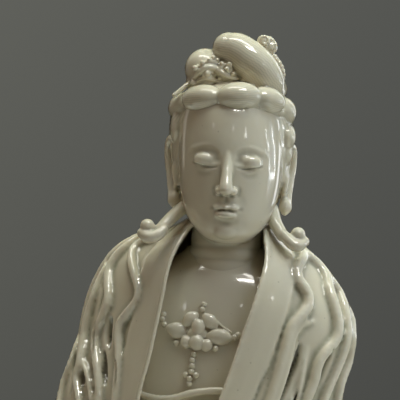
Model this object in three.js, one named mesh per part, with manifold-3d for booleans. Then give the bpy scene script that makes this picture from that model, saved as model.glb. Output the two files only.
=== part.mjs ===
// A white glazed porcelain Guanyin, seated with crossed legs on a low oval plinth.
// Figure and plinth are one fired piece. Millimetres, +Z up, the face looks along -Y,
// and the origin is the centre of the underside.
import * as THREE from "three";
import { mergeVertices } from "three/addons/utils/BufferGeometryUtils.js";
import Module from "manifold-3d";

const wasm = await Module();
wasm.setup();

// Driving sizes.
const figureHeight = 276; // from the plinth's top to the top of the topknot
const plinthHeight = 24;
const plinthWidth = 216;
const plinthDepth = 152;
const footHeight = 6; // the plinth's straight foot
const rimHeight = 7; // the plinth's straight upper rim
const waistInset = 5; // how far the hollow between foot and rim goes in
const seatSink = 2; // how far the figure's forms run into the plinth
const glazeColour = 0xd9d8cc;
const facetTolerance = 0.27; // how far a facet may leave the joined surface

// The figure is drawn 276 units tall, standing on the plinth's top.
const drawnHeight = 276;
const unit = figureHeight / drawnHeight;

// The body is turned towards its right hand under a head that faces straight ahead.
const bodyTurn = THREE.MathUtils.degToRad(-12);

const place = (x, y, z) => new THREE.Vector3(x * unit, y * unit, plinthHeight + z * unit);
const places = (points) => points.map((p) => place(...p));

// Booleans: a closed geometry becomes a solid, and a list of solids becomes one.
function solid(geometry) {
  const bare = geometry.clone();
  bare.deleteAttribute("normal");
  bare.deleteAttribute("uv");
  const merged = mergeVertices(bare, 1e-4);
  const { array } = merged.attributes.position;
  const corners = [];
  for (let i = 0; i < merged.index.count; i += 3) {
    const [a, b, c] = [0, 1, 2].map((k) => merged.index.getX(i + k));
    if (a !== b && b !== c && c !== a) corners.push(a, b, c);
  }
  if (signedVolume(array, corners) < 0) corners.reverse();
  return new wasm.Manifold(
    new wasm.Mesh({ numProp: 3, vertProperties: array, triVerts: new Uint32Array(corners) }),
  );
}

function signedVolume(array, corners) {
  const point = (k) => new THREE.Vector3().fromArray(array, corners[k] * 3);
  let sum = 0;
  for (let i = 0; i < corners.length; i += 3) {
    sum += point(i).dot(point(i + 1).cross(point(i + 2)));
  }
  return sum;
}

const joined = (solids) => solids.reduce((sum, next) => sum.add(next));

function geometryOf(manifold) {
  const { vertProperties, triVerts } = manifold.getMesh();
  const geometry = new THREE.BufferGeometry();
  geometry.setAttribute("position", new THREE.BufferAttribute(vertProperties, 3));
  geometry.setIndex(new THREE.BufferAttribute(triVerts, 1));
  return geometry;
}

// Drops the vertices that lie within a tolerance of the faces that stay without them, the
// flattest first. A vertex goes only where the surface stays closed and turns by little.
function thinned(geometry, tolerance) {
  const { position } = geometry.attributes;
  const points = Array.from({ length: position.count }, (_, i) => new THREE.Vector3().fromBufferAttribute(position, i));
  const faces = Array.from({ length: geometry.index.count / 3 }, (_, f) =>
    [0, 1, 2].map((k) => geometry.index.getX(3 * f + k)));
  const facesAt = points.map(() => new Set());
  faces.forEach((face, f) => face.forEach((v) => facesAt[v].add(f)));
  const besides = (v) => new Set([...facesAt[v]].flatMap((f) => faces[f]).filter((w) => w !== v));
  const slant = (corners) => new THREE.Vector3().crossVectors(
    corners[1].clone().sub(corners[0]), corners[2].clone().sub(corners[0]));
  const cost = (v, into, nearV) => {
    const nearInto = besides(into);
    if ([...nearV].filter((w) => nearInto.has(w)).length !== 2) return Infinity;
    let worst = 0;
    for (const f of facesAt[v]) {
      if (faces[f].includes(into)) continue;
      const before = slant(faces[f].map((w) => points[w])).normalize();
      const corners = faces[f].map((w) => points[w === v ? into : w]);
      const after = slant(corners);
      const longest = Math.max(...corners.map((c, k) => c.distanceTo(corners[(k + 1) % 3])));
      if (after.length() < longest * longest * 0.02) return Infinity;
      if (after.normalize().dot(before) < 0.8) return Infinity;
      worst = Math.max(worst, Math.abs(after.dot(points[v].clone().sub(corners[0]))));
    }
    return worst;
  };
  for (const limit of [tolerance / 8, tolerance / 4, tolerance / 2, tolerance]) {
    for (let v = 0; v < points.length; v++) {
      if (!facesAt[v].size) continue;
      const nearV = besides(v);
      const best = [...nearV].map((into) => [cost(v, into, nearV), into]).sort((a, b) => a[0] - b[0])[0];
      if (!best || best[0] > limit) continue;
      for (const f of [...facesAt[v]]) {
        if (faces[f].includes(best[1])) {
          faces[f].forEach((w) => facesAt[w].delete(f));
          faces[f] = null;
        } else {
          faces[f] = faces[f].map((w) => (w === v ? best[1] : w));
          facesAt[best[1]].add(f);
        }
      }
      facesAt[v].clear();
    }
  }
  const thin = new THREE.BufferGeometry();
  thin.setAttribute("position", position.clone());
  thin.setIndex(faces.filter(Boolean).flat());
  return thin;
}

// Moves every vertex of a geometry to where a function puts it.
function reshape(geometry, move) {
  const position = geometry.attributes.position;
  const v = new THREE.Vector3();
  for (let i = 0; i < position.count; i++) {
    v.fromBufferAttribute(position, i);
    const moved = move(v);
    position.setXYZ(i, moved.x, moved.y, moved.z);
  }
  return geometry;
}

// An egg-shaped lump: a sphere pulled to three radii, tipped about Y and spun about Z.
function lump(x, y, z, rx, ry, rz, { tip = 0, spin = 0, around = 10, down = 6 } = {}) {
  const geometry = new THREE.SphereGeometry(1, around, down);
  geometry.rotateX(Math.PI / 2);
  geometry.scale(rx * unit, ry * unit, rz * unit);
  geometry.rotateY(tip);
  geometry.rotateZ(spin);
  const centre = place(x, y, z);
  geometry.translate(centre.x, centre.y, centre.z);
  return solid(geometry);
}

// A bead at a point, for pearls.
function bead(spot, radius) {
  const geometry = new THREE.IcosahedronGeometry(radius * unit, 0);
  geometry.translate(spot.x, spot.y, spot.z);
  return solid(geometry);
}

// A rounded roll along a curve. Its radius is read from a list spread over its length,
// its height may be taller than that, and its ends close in a dome.
function roll(points, radii, { sides = 6, steps = 12, tall = 1 } = {}) {
  const path = new THREE.CatmullRomCurve3(points);
  const frames = path.computeFrenetFrames(steps, false);
  const profile = [];
  for (let i = 0; i <= steps; i++) {
    const t = i / steps;
    const dome = Math.sin(Math.PI * Math.min(1, Math.max(0, t))) ** 0.28;
    profile.push(new THREE.Vector2(i % steps ? readList(radii, t) * unit * dome : 0, i));
  }
  return solid(
    reshape(new THREE.LatheGeometry(profile, sides), (v) => {
      const i = Math.round(v.y);
      const out = frames.normals[i].clone().multiplyScalar(v.x).addScaledVector(frames.binormals[i], v.z);
      return path.getPoint(i / steps).add(out.setZ(out.z * tall));
    }),
  );
}

function readList(list, t) {
  const at = t * (list.length - 1);
  const low = Math.min(Math.floor(at), list.length - 2);
  return THREE.MathUtils.lerp(list[low], list[low + 1], at - low);
}

// A closed body through level oval rings, listed as [height, centre x, centre y, half width, half depth].
// ripple gives the height of the folds at an angle (the front is at a quarter turn) and a height.
function stack(rings, { around = 36, steps = 24, squareness = 2, turn = 0, ripple = () => 0 } = {}) {
  const heights = rings.map((ring) => ring[0]);
  const low = heights[0];
  const high = heights[heights.length - 1];
  const curves = [1, 2, 3, 4].map((k) => smoothList(heights, rings.map((ring) => ring[k])));
  const geometry = new THREE.CylinderGeometry(1, 1, 1, around, steps);
  return solid(
    reshape(geometry, (v) => {
      const height = THREE.MathUtils.lerp(low, high, v.y + 0.5);
      const [cx, cy, rx, ry] = curves.map((curve) => curve(height));
      const reach = Math.hypot(v.x, v.z) < 1e-6 ? 0 : 1;
      const angle = Math.atan2(v.z, v.x);
      const bulge = (Math.abs(Math.cos(angle)) ** squareness + Math.abs(Math.sin(angle)) ** squareness)
        ** (-1 / squareness);
      const fold = ripple(angle, height);
      const x = (rx * bulge + fold) * reach * Math.cos(angle);
      const y = -(ry * bulge + fold) * reach * Math.sin(angle);
      return place(
        cx + x * Math.cos(turn) - y * Math.sin(turn),
        cy + x * Math.sin(turn) + y * Math.cos(turn),
        height,
      );
    }),
  );
}

// A smooth curve through values given at rising places.
function smoothList(at, values) {
  return (x) => {
    let i = 0;
    while (i < at.length - 2 && x > at[i + 1]) i++;
    const slope = (k) => {
      const a = Math.max(k - 1, 0);
      const b = Math.min(k + 1, at.length - 1);
      return (values[b] - values[a]) / (at[b] - at[a]);
    };
    const width = at[i + 1] - at[i];
    const t = Math.min(1, Math.max(0, (x - at[i]) / width));
    const [t2, t3] = [t * t, t * t * t];
    return (2 * t3 - 3 * t2 + 1) * values[i] + (t3 - 2 * t2 + t) * width * slope(i)
      + (3 * t2 - 2 * t3) * values[i + 1] + (t3 - t2) * width * slope(i + 1);
  };
}

// Lays a route drawn in front view, as [x, z] pairs, on the surface of a solid.
// side is -1 for the front and 1 for the back, and rise lifts the route off the surface.
function layer(manifold) {
  const mesh = new THREE.Mesh(geometryOf(manifold), new THREE.MeshBasicMaterial({ side: THREE.DoubleSide }));
  const caster = new THREE.Raycaster();
  const far = figureHeight;
  return (route, { side = -1, rise = 0 } = {}) =>
    route.map(([x, z]) => {
      const from = place(x, 0, z).setY(side * far);
      caster.set(from, new THREE.Vector3(0, -side, 0));
      const [hit] = caster.intersectObject(mesh);
      const y = hit ? hit.point.y : 0;
      return from.setY(y + side * rise * unit);
    });
}

// A wavy route from one [x, z] point to another.
function wavy(from, to, { sway, waves, phase = 0, points = 9 }) {
  const along = new THREE.Vector2(to[0] - from[0], to[1] - from[1]);
  const across = new THREE.Vector2(-along.y, along.x).normalize();
  return Array.from({ length: points }, (_, i) => {
    const t = i / (points - 1);
    const off = sway * Math.sin(Math.PI * (2 * waves * t + phase)) * Math.sin(Math.PI * Math.min(1, t + 0.15));
    return [from[0] + along.x * t + across.x * off, from[1] + along.y * t + across.y * off];
  });
}

// A band laid on a solid between two routes, standing proud of it by its thickness.
// The thickness is listed from its inner to its outer edge.
function band(lay, inner, outer, { thickness, depth = 6, steps = 10, across = 3 }) {
  const spread = (route) => {
    const curve = new THREE.SplineCurve(route.map(([x, z]) => new THREE.Vector2(x, z)));
    return (t) => curve.getPoint(t);
  };
  const [from, to] = [spread(inner), spread(outer)];
  const geometry = new THREE.BoxGeometry(1, 1, 1, across, 1, steps);
  return solid(
    reshape(geometry, (v) => {
      const t = v.z + 0.5;
      const spot = from(t).lerp(to(t), v.x + 0.5);
      const rise = v.y > 0 ? readList(thickness, v.x + 0.5) : -depth;
      return lay([[spot.x, spot.y]], { rise })[0];
    }),
  );
}

// The plinth, turned as an oval: foot, hollow waist and rim, flat above and below.
function plinth() {
  const waist = plinthHeight - footHeight - rimHeight;
  const waistSteps = 3;
  const profile = [new THREE.Vector2(0, 0), new THREE.Vector2(1, 0), new THREE.Vector2(1, footHeight)];
  for (let i = 1; i < waistSteps; i++) {
    const t = i / waistSteps;
    const inset = (waistInset * Math.sin(Math.PI * t) ** 0.7) / (plinthWidth / 2);
    profile.push(new THREE.Vector2(1 - inset, footHeight + waist * t));
  }
  profile.push(new THREE.Vector2(1, plinthHeight - rimHeight), new THREE.Vector2(1, plinthHeight));
  profile.push(new THREE.Vector2(0, plinthHeight));
  const geometry = new THREE.LatheGeometry(profile, 48);
  geometry.rotateX(Math.PI / 2);
  geometry.scale(plinthWidth / 2, plinthDepth / 2, 1);
  return solid(geometry);
}

// The robe from the seat to the collar, wide over the shoulders and the elbows.
const robeRings = [
  [-seatSink, 0, 4, 80, 50],
  [25, 0, 3, 74, 49],
  [50, -1, 2, 68, 46],
  [70, -3, 1, 67, 43],
  [85, -6, 1, 68, 39],
  [100, -8.5, 1, 65.5, 36],
  [116, -7.5, 1, 63.2, 34],
  [128, -5.4, 1, 60.8, 32.5],
  [140, -2.8, 1.5, 59.4, 31.5],
  [150, -1.3, 2, 58.4, 30.5],
  [160, -1, 2.5, 56.4, 29.5],
  [170, -1.3, 3, 53, 28],
  [178, -1.6, 3.5, 47, 25.5],
  [184, -1, 4, 38, 22.5],
  [190, 0, 4, 26.5, 19.5],
  [196, 0.5, 4, 18.5, 17],
];
const backFolds = 5;
const backFoldHeight = 3;
function robe() {
  const ripple = (angle, z) => {
    const behind = Math.max(0, -Math.sin(angle)) ** 0.6;
    const grown = THREE.MathUtils.smoothstep(172 - z, 0, 90);
    return backFoldHeight * behind * grown * Math.cos(2 * backFolds * (angle + Math.PI / 2));
  };
  return stack(robeRings, { turn: bodyTurn, around: 60, steps: 30, ripple });
}

// The bare chest under the robe's opening.
function chest() {
  return stack(
    [
      [105, -5, 0, 40, 26],
      [125, -4, 0, 42, 27],
      [145, -3, 1, 42, 26.5],
      [165, -1.5, 2, 40, 24],
      [177, -0.5, 3, 34, 20],
      [186, 0, 3, 22, 17],
    ],
    { turn: bodyTurn, around: 40, steps: 10 },
  );
}

// Crossed legs under the cloth: a low lap, two knees and the shins in front. Its hem ripples.
const hemRipples = 11;
function lap() {
  const ripple = (angle, z) => 2 * (1 - THREE.MathUtils.smoothstep(z, 0, 34)) * Math.cos(hemRipples * angle);
  const cloth = stack(
    [
      [-seatSink, 0, -4, 95, 61],
      [9, 0, -4, 94, 60],
      [24, 0, -4, 91, 57],
      [38, 0, -3, 80, 52],
      [50, 0, -2, 64, 46],
      [62, 0, -2, 48, 40],
    ],
    { squareness: 2.2, around: 66, steps: 9, ripple },
  );
  const knees = [-1, 1].map((side) => lump(side * 64, -13, 24, 36, 37, 25, { around: 20, down: 12 }));
  const thighs = [-1, 1].map((side) =>
    roll(places([[side * 14, -30, 42], [side * 40, -36, 43], [side * 64, -32, 38], [side * 80, -24, 28]]),
      [12, 17, 17, 12], { sides: 14, steps: 12 }));
  const shins = roll(places([[-84, -22, 22], [-48, -46, 25], [0, -54, 18], [48, -46, 25], [84, -22, 22]]),
    [12, 18, 14, 18, 12], { sides: 14, steps: 18 });
  return joined([cloth, ...knees, ...thighs, shins]);
}

// Forearms in wide sleeves, whose mouths meet and overlap in front with the hands inside.
function sleeves() {
  const right = roll(places([[-60, 0, 98], [-56, -20, 85], [-36, -40, 73], [-10, -52, 67], [10, -54, 65]]),
    [15, 17, 16, 14, 12], { sides: 16, steps: 14, tall: 1.4 });
  const left = roll(places([[48, 0, 98], [46, -20, 85], [30, -40, 73], [8, -52, 68], [-6, -56, 66]]),
    [15, 17, 16, 13, 12], { sides: 16, steps: 14, tall: 1.4 });
  return joined([right, left]);
}

// The head leans and turns a little to its right and narrows to a full chin. Its face is a calm one on
// even thirds: hairline, brow, base of the nose and chin lie one third of the face apart.
const headTurn = -4; // degrees
const chin = 188;
const hairline = 242.6;
const third = (hairline - chin) / 3;
const crown = 254;
const eyeWidth = 9; // the face is five of these wide
const leaned = (z) => 0.8 - 0.04 * (z - chin);
const headRings = [
  [186.4, -16.5, 5, 5.5],
  [187.6, -15.8, 8.6, 9],
  [190, -14.3, 12, 13],
  [193, -12.4, 14.8, 16],
  [197, -9.8, 17.6, 19.4],
  [204, -6.6, 20.2, 22.8],
  [212, -4.6, 21.8, 24.8],
  [222, -3.6, 22.6, 26],
  [232, -3, 22.6, 26],
  [242, -3, 21.2, 23.6],
  [250, -2, 17, 18.5],
  [255, -2, 8, 10],
].map(([z, y, rx, ry]) => [z, leaned(z), y, rx, ry]);
const faceFront = smoothList(headRings.map((ring) => ring[0]), headRings.map((ring) => ring[2] - ring[4]));
function head() {
  const brow = chin + 2 * third;
  const noseBase = chin + third;
  const mouth = chin + (third * 2) / 3;
  const eyes = (chin + crown) / 2;
  const small = { around: 10, down: 6 };
  const onFace = (x, z, out) => [x + leaned(z), faceFront(z) + 0.022 * x * x - out, z];
  const face = [
    roll(places([onFace(0, brow + 1, -0.6), onFace(0, noseBase + 6.5, 3), onFace(0, noseBase + 2.4, 4.4)]), [1.8, 2.8, 4],
      { sides: 8, steps: 6 }),
    lump(...onFace(0, mouth + 1.5, -0.6), 0.75 * eyeWidth, 2.4, 1.4, small),
    lump(...onFace(0, mouth - 1.7, -0.6), 0.6 * eyeWidth, 2.6, 1.7, small),
    lump(...onFace(0, chin + 3.5, -3), 7.5, 4.6, 4.6, small),
  ];
  for (const side of [-1, 1]) {
    face.push(
      lump(...onFace(side * 3.1, noseBase + 1.9, 1), 2, 3, 1.8, small),
      lump(...onFace(side * eyeWidth, eyes, -2.6), eyeWidth / 2 + 0.4, 3.4, 3, small),
      roll(places([onFace(side * 2.6, brow - 2, -0.6), onFace(side * 9, brow + 1.8, -0.8), onFace(side * 15.5, brow - 1, -0.9)]),
        [1.2, 1.6, 1.1], { sides: 5, steps: 7 }),
    );
  }
  return joined([stack(headRings, { around: 32, steps: 22 }), ...face]).rotate([0, 0, headTurn]);
}

// Long ears with hanging lobes, standing a little off the head.
function ears() {
  const beside = (side, x, y, z) => [side * x + leaned(z), y, z];
  return joined([-1, 1].flatMap((side) => [
    roll(places([beside(side, 21.8, -4, 215), beside(side, 23.9, -2, 228.6), beside(side, 26.3, 4, 224),
      beside(side, 24.8, 3, 212), beside(side, 23.7, -3, 202.4)]), [2.2, 2.2, 2.3, 2.5, 3.2], { sides: 8, steps: 14 }),
    lump(...beside(side, 22.4, 0, 214.5), 3, 5.5, 11, { around: 8, down: 6 }),
  ]));
}

// A full neck with two creases, set into the chest.
function neck() {
  const profile = [[0, 165], [16, 165], [16.4, 178], [15.7, 179.4], [15.9, 183], [15, 184.4], [15, 196], [13, 206],
    [0, 206]].map(([r, z]) => new THREE.Vector2(r * unit, z * unit + plinthHeight));
  const geometry = new THREE.LatheGeometry(profile, 28);
  geometry.rotateX(Math.PI / 2);
  geometry.translate(0, 0.5 * unit, 0);
  return solid(geometry);
}

// Hair: combed over the head and gathered at the nape, a rope of rolls round the brow, and a
// coiled topknot. Each roll has its turn from the front in degrees, half length, half height, height and tip.
const ropeRolls = [
  [3, 10.4, 6, 248.3, -0.14],
  [-42, 9.6, 5, 246.6, -0.07],
  [43, 9.6, 5, 247.2, 0.1],
  [85, 9.6, 5.9, 244.9, 0.22],
  [-86, 9.6, 5.4, 243.4, -0.3],
  [129, 10.6, 6, 242.4, 0.1],
  [-130, 10.6, 6, 241.6, -0.1],
  [180, 11.4, 6.2, 240.6, 0],
];
function hair() {
  const rope = ropeRolls.map(([degrees, long, high, z, tip]) => {
    const angle = THREE.MathUtils.degToRad(degrees);
    return lump(-1.4 + Math.sin(angle) * 21.4, 3 - Math.cos(angle) * 25.8, z, long, 6.6, high, {
      tip,
      spin: angle,
      around: 12,
      down: 8,
    });
  });
  return joined([
    stack(
      [
        [190, 0.7, 11, 14, 11],
        [198, 0.4, 9, 17.5, 16],
        [207, 0, 7, 22, 21.5],
        [217, -0.4, 5.5, 25.4, 25.5],
        [228, -0.8, 5, 27, 27],
        [238, -1.2, 4.5, 27, 26.5],
        [245, -1.5, 4, 24.4, 24],
        [250, -1.5, 4, 19, 19],
        [255, -1.5, 4, 9, 9],
      ],
      { around: 30, steps: 14 },
    ),
    ...rope,
    roll(places([[-11.6, -6.8, 269.3], [-5.4, -8, 269.1], [-1.6, -9.2, 268.2], [3, -10, 265.3], [7.3, -10.2, 261.8],
      [10.7, -9, 258.2], [13.4, -4.5, 254.6], [14.2, 3, 253.2], [9, 11.5, 254.2], [-2, 14.5, 256], [-12, 8, 258.5]]),
      [6.6, 7, 7.7, 8.3, 8.3, 7.9, 7.2, 7, 7.2, 7.4, 7.6], { sides: 12, steps: 26 }),
    lump(-14.3, -4, 259.8, 8.9, 9.8, 9, { around: 14, down: 8 }),
    lump(-13.6, -3, 254.6, 8.6, 9, 8, { around: 14, down: 8 }),
    lump(0, 3, 256.5, 12, 12, 10, { around: 14, down: 8 }),
  ]);
}

// Ornaments in the topknot: a scroll with pearls, and a pin with a flower head and its string of
// beads, whose other end shows on the far side.
function topknotOrnaments(layOnHair) {
  const scroll = roll(layOnHair([[-18, 255.6], [-15, 259.2], [-10.5, 259.4], [-6, 257.2], [0.6, 256.1]], { rise: 0.5 }),
    [1.3, 1.9, 2.2, 1.8, 1.1], { sides: 6, steps: 9 });
  const pearls = [[-18.6, 259], [-13.1, 256.9], [-4.3, 261.2], [-8.6, 262.8], [-18.9, 253], [1.9, 255.6]].map((spot) =>
    bead(layOnHair([spot], { rise: 0.6 })[0], 1.5));
  const pin = [
    lump(11.2, -6, 272.1, 4.7, 3.8, 3.7, { around: 8, down: 6, tip: 0.6 }),
    lump(12.2, -6, 268, 3, 3, 2.6, { around: 6, down: 4 }),
    roll(places([[-17, -6, 256], [-21.9, -9, 251.6], [-26.5, -11, 247.2]]), [1.1, 1.2, 1.1], { sides: 5, steps: 4 }),
  ];
  const beads = [[13.6, 267.4], [15.2, 265.6], [16.8, 263.4], [18, 261]].map(([x, z]) => bead(place(x, -7.5, z), 1.4));
  return joined([scroll, ...pearls, ...pin, ...beads]);
}

// The robe's lapels: each has an inner edge on the opening and an outer edge on the shoulder.
const rightLapel = {
  inner: [[-13, 196.5], [-19, 186], [-22.6, 176], [-25.7, 162], [-27.5, 149.5], [-29.6, 137], [-32, 121], [-31, 102],
    [-27, 82]],
  outer: [[-17, 197], [-27, 189.5], [-34.5, 176], [-37, 161], [-40, 149], [-42, 136.7], [-43, 119.5], [-43.5, 100],
    [-42, 80]],
};
const leftLapel = {
  inner: [[15, 197.5], [17, 187], [16.9, 179], [13.6, 166.3], [9.4, 151], [5.6, 137], [0.4, 120], [-7, 101],
    [-16, 82]],
  outer: [[18, 198], [27, 189.5], [29.8, 180], [29, 165], [26, 153], [21.2, 136.3], [15, 119], [9, 100], [2, 80]],
};
const lapelThickness = [4.4, 3.6, 2.2]; // from the inner to the outer edge

// The opening between the lapels, cut through the robe down to the chest.
function opening() {
  const outline = new THREE.Shape();
  const edge = [...rightLapel.inner, ...[...leftLapel.inner].reverse()];
  edge.forEach(([x, z], i) => (i ? outline.lineTo(x, z) : outline.moveTo(x, z)));
  const depth = 80;
  const geometry = new THREE.ExtrudeGeometry(outline, { depth, bevelEnabled: false });
  return solid(reshape(geometry, (v) => place(v.x, v.z - depth, v.y)));
}

// The upper edge of the undergarment, which crosses the chest below the pendant.
function undergarment(layOnChest) {
  const edge = roll(
    layOnChest([[-36, 122], [-29.5, 120.6], [-23.3, 120.2], [-17, 121.5], [-12.5, 123.4], [-6, 125.2], [1, 126], [10, 125]],
      { rise: 1.2 }),
    [1.6, 1.6, 1.6],
    { sides: 6, steps: 14 },
  );
  const cloth = stack(
    [
      [74, -5, -1, 42, 31],
      [96, -5, -1, 42, 29.4],
      [117, -4.5, -1, 42, 28.6],
    ],
    { turn: bodyTurn, around: 40, steps: 3 },
  );
  return joined([edge, cloth]);
}

// The necklace's lotus with its two leaves, and the strings of pearls that carry it.
const pearlRadius = 1.3;
function necklace(layOnChest) {
  const petal = (x, z, wide, tall, tip, rise) => {
    const [spot] = layOnChest([[x, z]], { rise });
    const geometry = new THREE.SphereGeometry(1, 7, 4).rotateX(Math.PI / 2);
    geometry.scale(wide * unit, 2.2 * unit, tall * unit);
    geometry.rotateY(tip);
    geometry.translate(spot.x, spot.y, spot.z);
    return solid(geometry);
  };
  const flower = [
    petal(-18.3, 148.9, 5.1, 3.3, 0.25, 0.8),
    petal(-0.7, 147.8, 5.5, 3.3, 0.05, 0.8),
    petal(-13, 154.2, 3.8, 2.8, -0.79, 0.9),
    petal(-5, 153.9, 3.9, 2.8, 0.72, 0.9),
    petal(-9.7, 151.3, 2.7, 3.3, 0, 2),
    petal(-14.2, 144.7, 2.4, 2.6, -0.3, 0.8),
    petal(-5.7, 144, 2.4, 2.6, 0.3, 0.8),
    petal(-9.9, 144.9, 3, 3.1, 0, 1.8),
    petal(-9.7, 148.4, 4.2, 2.8, 0, 0.2),
  ];
  const pearls = [
    [-8.4, 158.5], [-8, 160.6],
    [-23.9, 150.9], [-24.9, 153], [5.7, 148.2], [6.9, 149.3],
    [-10.8, 140], [-11.2, 137.6], [-11.1, 135.2], [-11.2, 132.8], [-13.6, 131.4], [-9.3, 131.5],
    [-11.8, 129.9], [-11.8, 127.7],
  ].map((spot) => bead(layOnChest([spot], { rise: 0.5 })[0], pearlRadius));
  return joined([...flower, ...pearls]);
}

// Long locks: each leaves the nape, is tied on the shoulder, and falls in waves over the robe.
function locks(layOnRobe) {
  const ties = [
    roll(places([[-15, 6, 205], [-19, -6, 200.6], [-24.4, -13, 195.2], [-30.4, -18.6, 188.4]]), [3, 3.1, 3.1, 3],
      { sides: 8, steps: 8 }),
    roll(places([[-24.8, -18.4, 191], [-28.6, -20, 187.6], [-33.4, -20.4, 186.3], [-38.2, -17.6, 188.6]]), [3, 3.1, 3.1, 2.9],
      { sides: 8, steps: 8 }),
    lump(-34.4, -17.8, 191.6, 3.5, 3.4, 3.4, { around: 8, down: 6 }),
    roll(places([[15, 6, 206], [18.9, -6, 202], [20.9, -13, 196.4], [25.6, -18.6, 189.4]]), [3, 3.1, 3.1, 3],
      { sides: 8, steps: 8 }),
    roll(places([[22, -17.6, 193], [25.3, -19.4, 189.2], [29, -20.4, 187.2], [34.4, -17.6, 190]]), [3, 3.1, 3.1, 2.9],
      { sides: 8, steps: 8 }),
    lump(29.6, -17.8, 192.4, 3.5, 3.4, 3.4, { around: 8, down: 6 }),
  ];
  const falling = [
    [[[-33, 184.6], [-37.6, 181.4], [-39.2, 176], [-37.1, 169.2], [-36, 162.3], [-38.9, 155.9], [-42.3, 149.9],
      [-42.9, 140], [-43.4, 124]], [2, 2.1, 2.1, 2.1, 1.6]],
    [[[-38.5, 186], [-46, 181], [-49.7, 172.6], [-48.7, 164.3], [-48, 159], [-49.7, 151.9], [-51.8, 144.7],
      [-51.3, 134.5], [-48.9, 121]], [2, 2.2, 2.3, 2.3, 1.8]],
    [[[29.9, 185.7], [32.6, 182.6], [30.7, 177.1], [32.4, 170.7], [35.3, 164.3], [32.2, 158.3], [29.2, 151.5],
      [28.2, 142.3], [23, 124.6]], [2, 2.3, 2.4, 2.3, 1.8]],
    [[[32.8, 185.1], [39.9, 179.9], [44.7, 174.6], [43.3, 168.2], [45.9, 161.2], [47.8, 154.2], [43.5, 146.8],
      [40.2, 139.8], [39.1, 131.3], [35.5, 121]], [2, 2.4, 2.5, 2.4, 1.8]],
  ].map(([route, radii]) => roll(layOnRobe(route, { rise: 0.9 }), radii, { sides: 6, steps: 18 }));
  return joined([...ties, ...falling]);
}

// Ridges of drapery, drawn in front view and laid on the cloth, with the radius of each.
const lapFolds = 3;
function drapery(lay) {
  const folds = [
    { route: wavy([-53, 171], [-61, 112], { sway: 1.6, waves: 0.5 }), radii: [2, 2.8, 2.4] },
    { route: wavy([-46.6, 146], [-43, 98], { sway: 1, waves: 0.5 }), radii: [1.2, 2.2, 2] },
    { route: wavy([52, 168], [44, 106], { sway: 2.5, waves: 0.5, phase: 1 }), radii: [2, 2.8, 2.2] },
    { route: wavy([49, 157], [38, 112], { sway: 2, waves: 0.5, phase: 1 }), radii: [1.8, 2.6, 2] },
    { route: wavy([28, 134], [19, 98], { sway: 0.8, waves: 0.5 }), radii: [1.4, 2.4, 2] },
    { route: [[-60, 96], [-52, 80], [-36, 66], [-14, 56]], radii: [1.5, 2.6, 2.6, 1.6] },
    { route: [[-54, 104], [-44, 90], [-28, 78], [-8, 70]], radii: [1.5, 2.4, 2.4, 1.6] },
    { route: [[50, 96], [44, 78], [31, 64], [14, 55]], radii: [1.5, 2.6, 2.6, 1.6] },
    { route: [[43, 104], [36, 90], [26, 79], [13, 72]], radii: [1.5, 2.4, 2.4, 1.6] },
    { route: [[4, 86], [8, 77], [8.5, 66], [6, 56], [1, 48]], radii: [1.6, 2.6, 2.6, 2.6, 1.6] },
  ];
  for (const side of [-1, 1]) {
    for (let k = 0; k < lapFolds; k++) {
      const sag = 16 + 6 * k;
      folds.push({
        route: [[side * 5, 56 - 12 * k], [side * (24 + 4 * k), 58 - sag - 4 * k], [side * (52 + 7 * k), 52 - sag + 2 * k],
          [side * (78 + 5 * k), 42 - 8 * k]],
        radii: [1.6, 3.2, 3, 1.4],
      });
    }
  }
  return joined(folds.map(({ route, radii }) => roll(lay(route, { rise: 0.2 }), radii, { sides: 6, steps: 10 })));
}

// Deep hollows between the folds of the sleeves.
function hollows(lay) {
  return joined([
    [[-48.8, 139], [-47.8, 131.4], [-45.8, 120]],
    [[-44.6, 152], [-44.4, 144], [-45, 136]],
    [[-57.6, 128], [-57.3, 123], [-56, 116]],
    [[32.4, 147], [30.2, 136.7], [25, 122]],
    [[47, 147], [44.3, 141.4], [41.3, 130.2]],
    [[32, 129], [31.4, 123.6], [29, 114]],
  ].map((route) => roll(lay(route, { rise: 0.4 }), [1, 2.4, 1], { sides: 6, steps: 6 })));
}

function figure() {
  const worn = robe();
  const layOnRobe = layer(worn);
  const layOnChest = layer(chest());
  const lapels = [rightLapel, leftLapel].map(({ inner, outer }) =>
    band(layOnRobe, inner, outer, { thickness: lapelThickness, depth: 8, steps: 16, across: 4 }));
  const cloth = joined([joined([worn, ...lapels]).subtract(opening()), lap(), sleeves()]);
  const lay = layer(cloth);
  const dressed = joined([joined([cloth, drapery(lay)]).subtract(hollows(lay)), chest()]);
  const combed = hair();
  return joined([
    dressed,
    undergarment(layOnChest),
    necklace(layOnChest),
    neck(),
    head(),
    ears(),
    locks(layer(dressed)),
    combed,
    topknotOrnaments(layer(combed)),
    plinth(),
  ]);
}

// Fills the pinholes that joining leaves sealed inside.
const filled = (manifold) => joined(manifold.decompose().filter((body) => body.volume() > 0));

const glaze = new THREE.MeshStandardMaterial({ color: glazeColour, roughness: 0.12, metalness: 0 });
const guanyin = new THREE.Mesh(thinned(geometryOf(filled(figure())), facetTolerance), glaze);
guanyin.name = "guanyin_figure";
const object = new THREE.Group();
object.add(guanyin);

export default object;
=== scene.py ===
# A seated figure in white glazed porcelain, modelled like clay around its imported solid.
import math

import bpy
import numpy as np
from mathutils import Matrix, Vector
from mathutils.bvhtree import BVHTree


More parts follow.
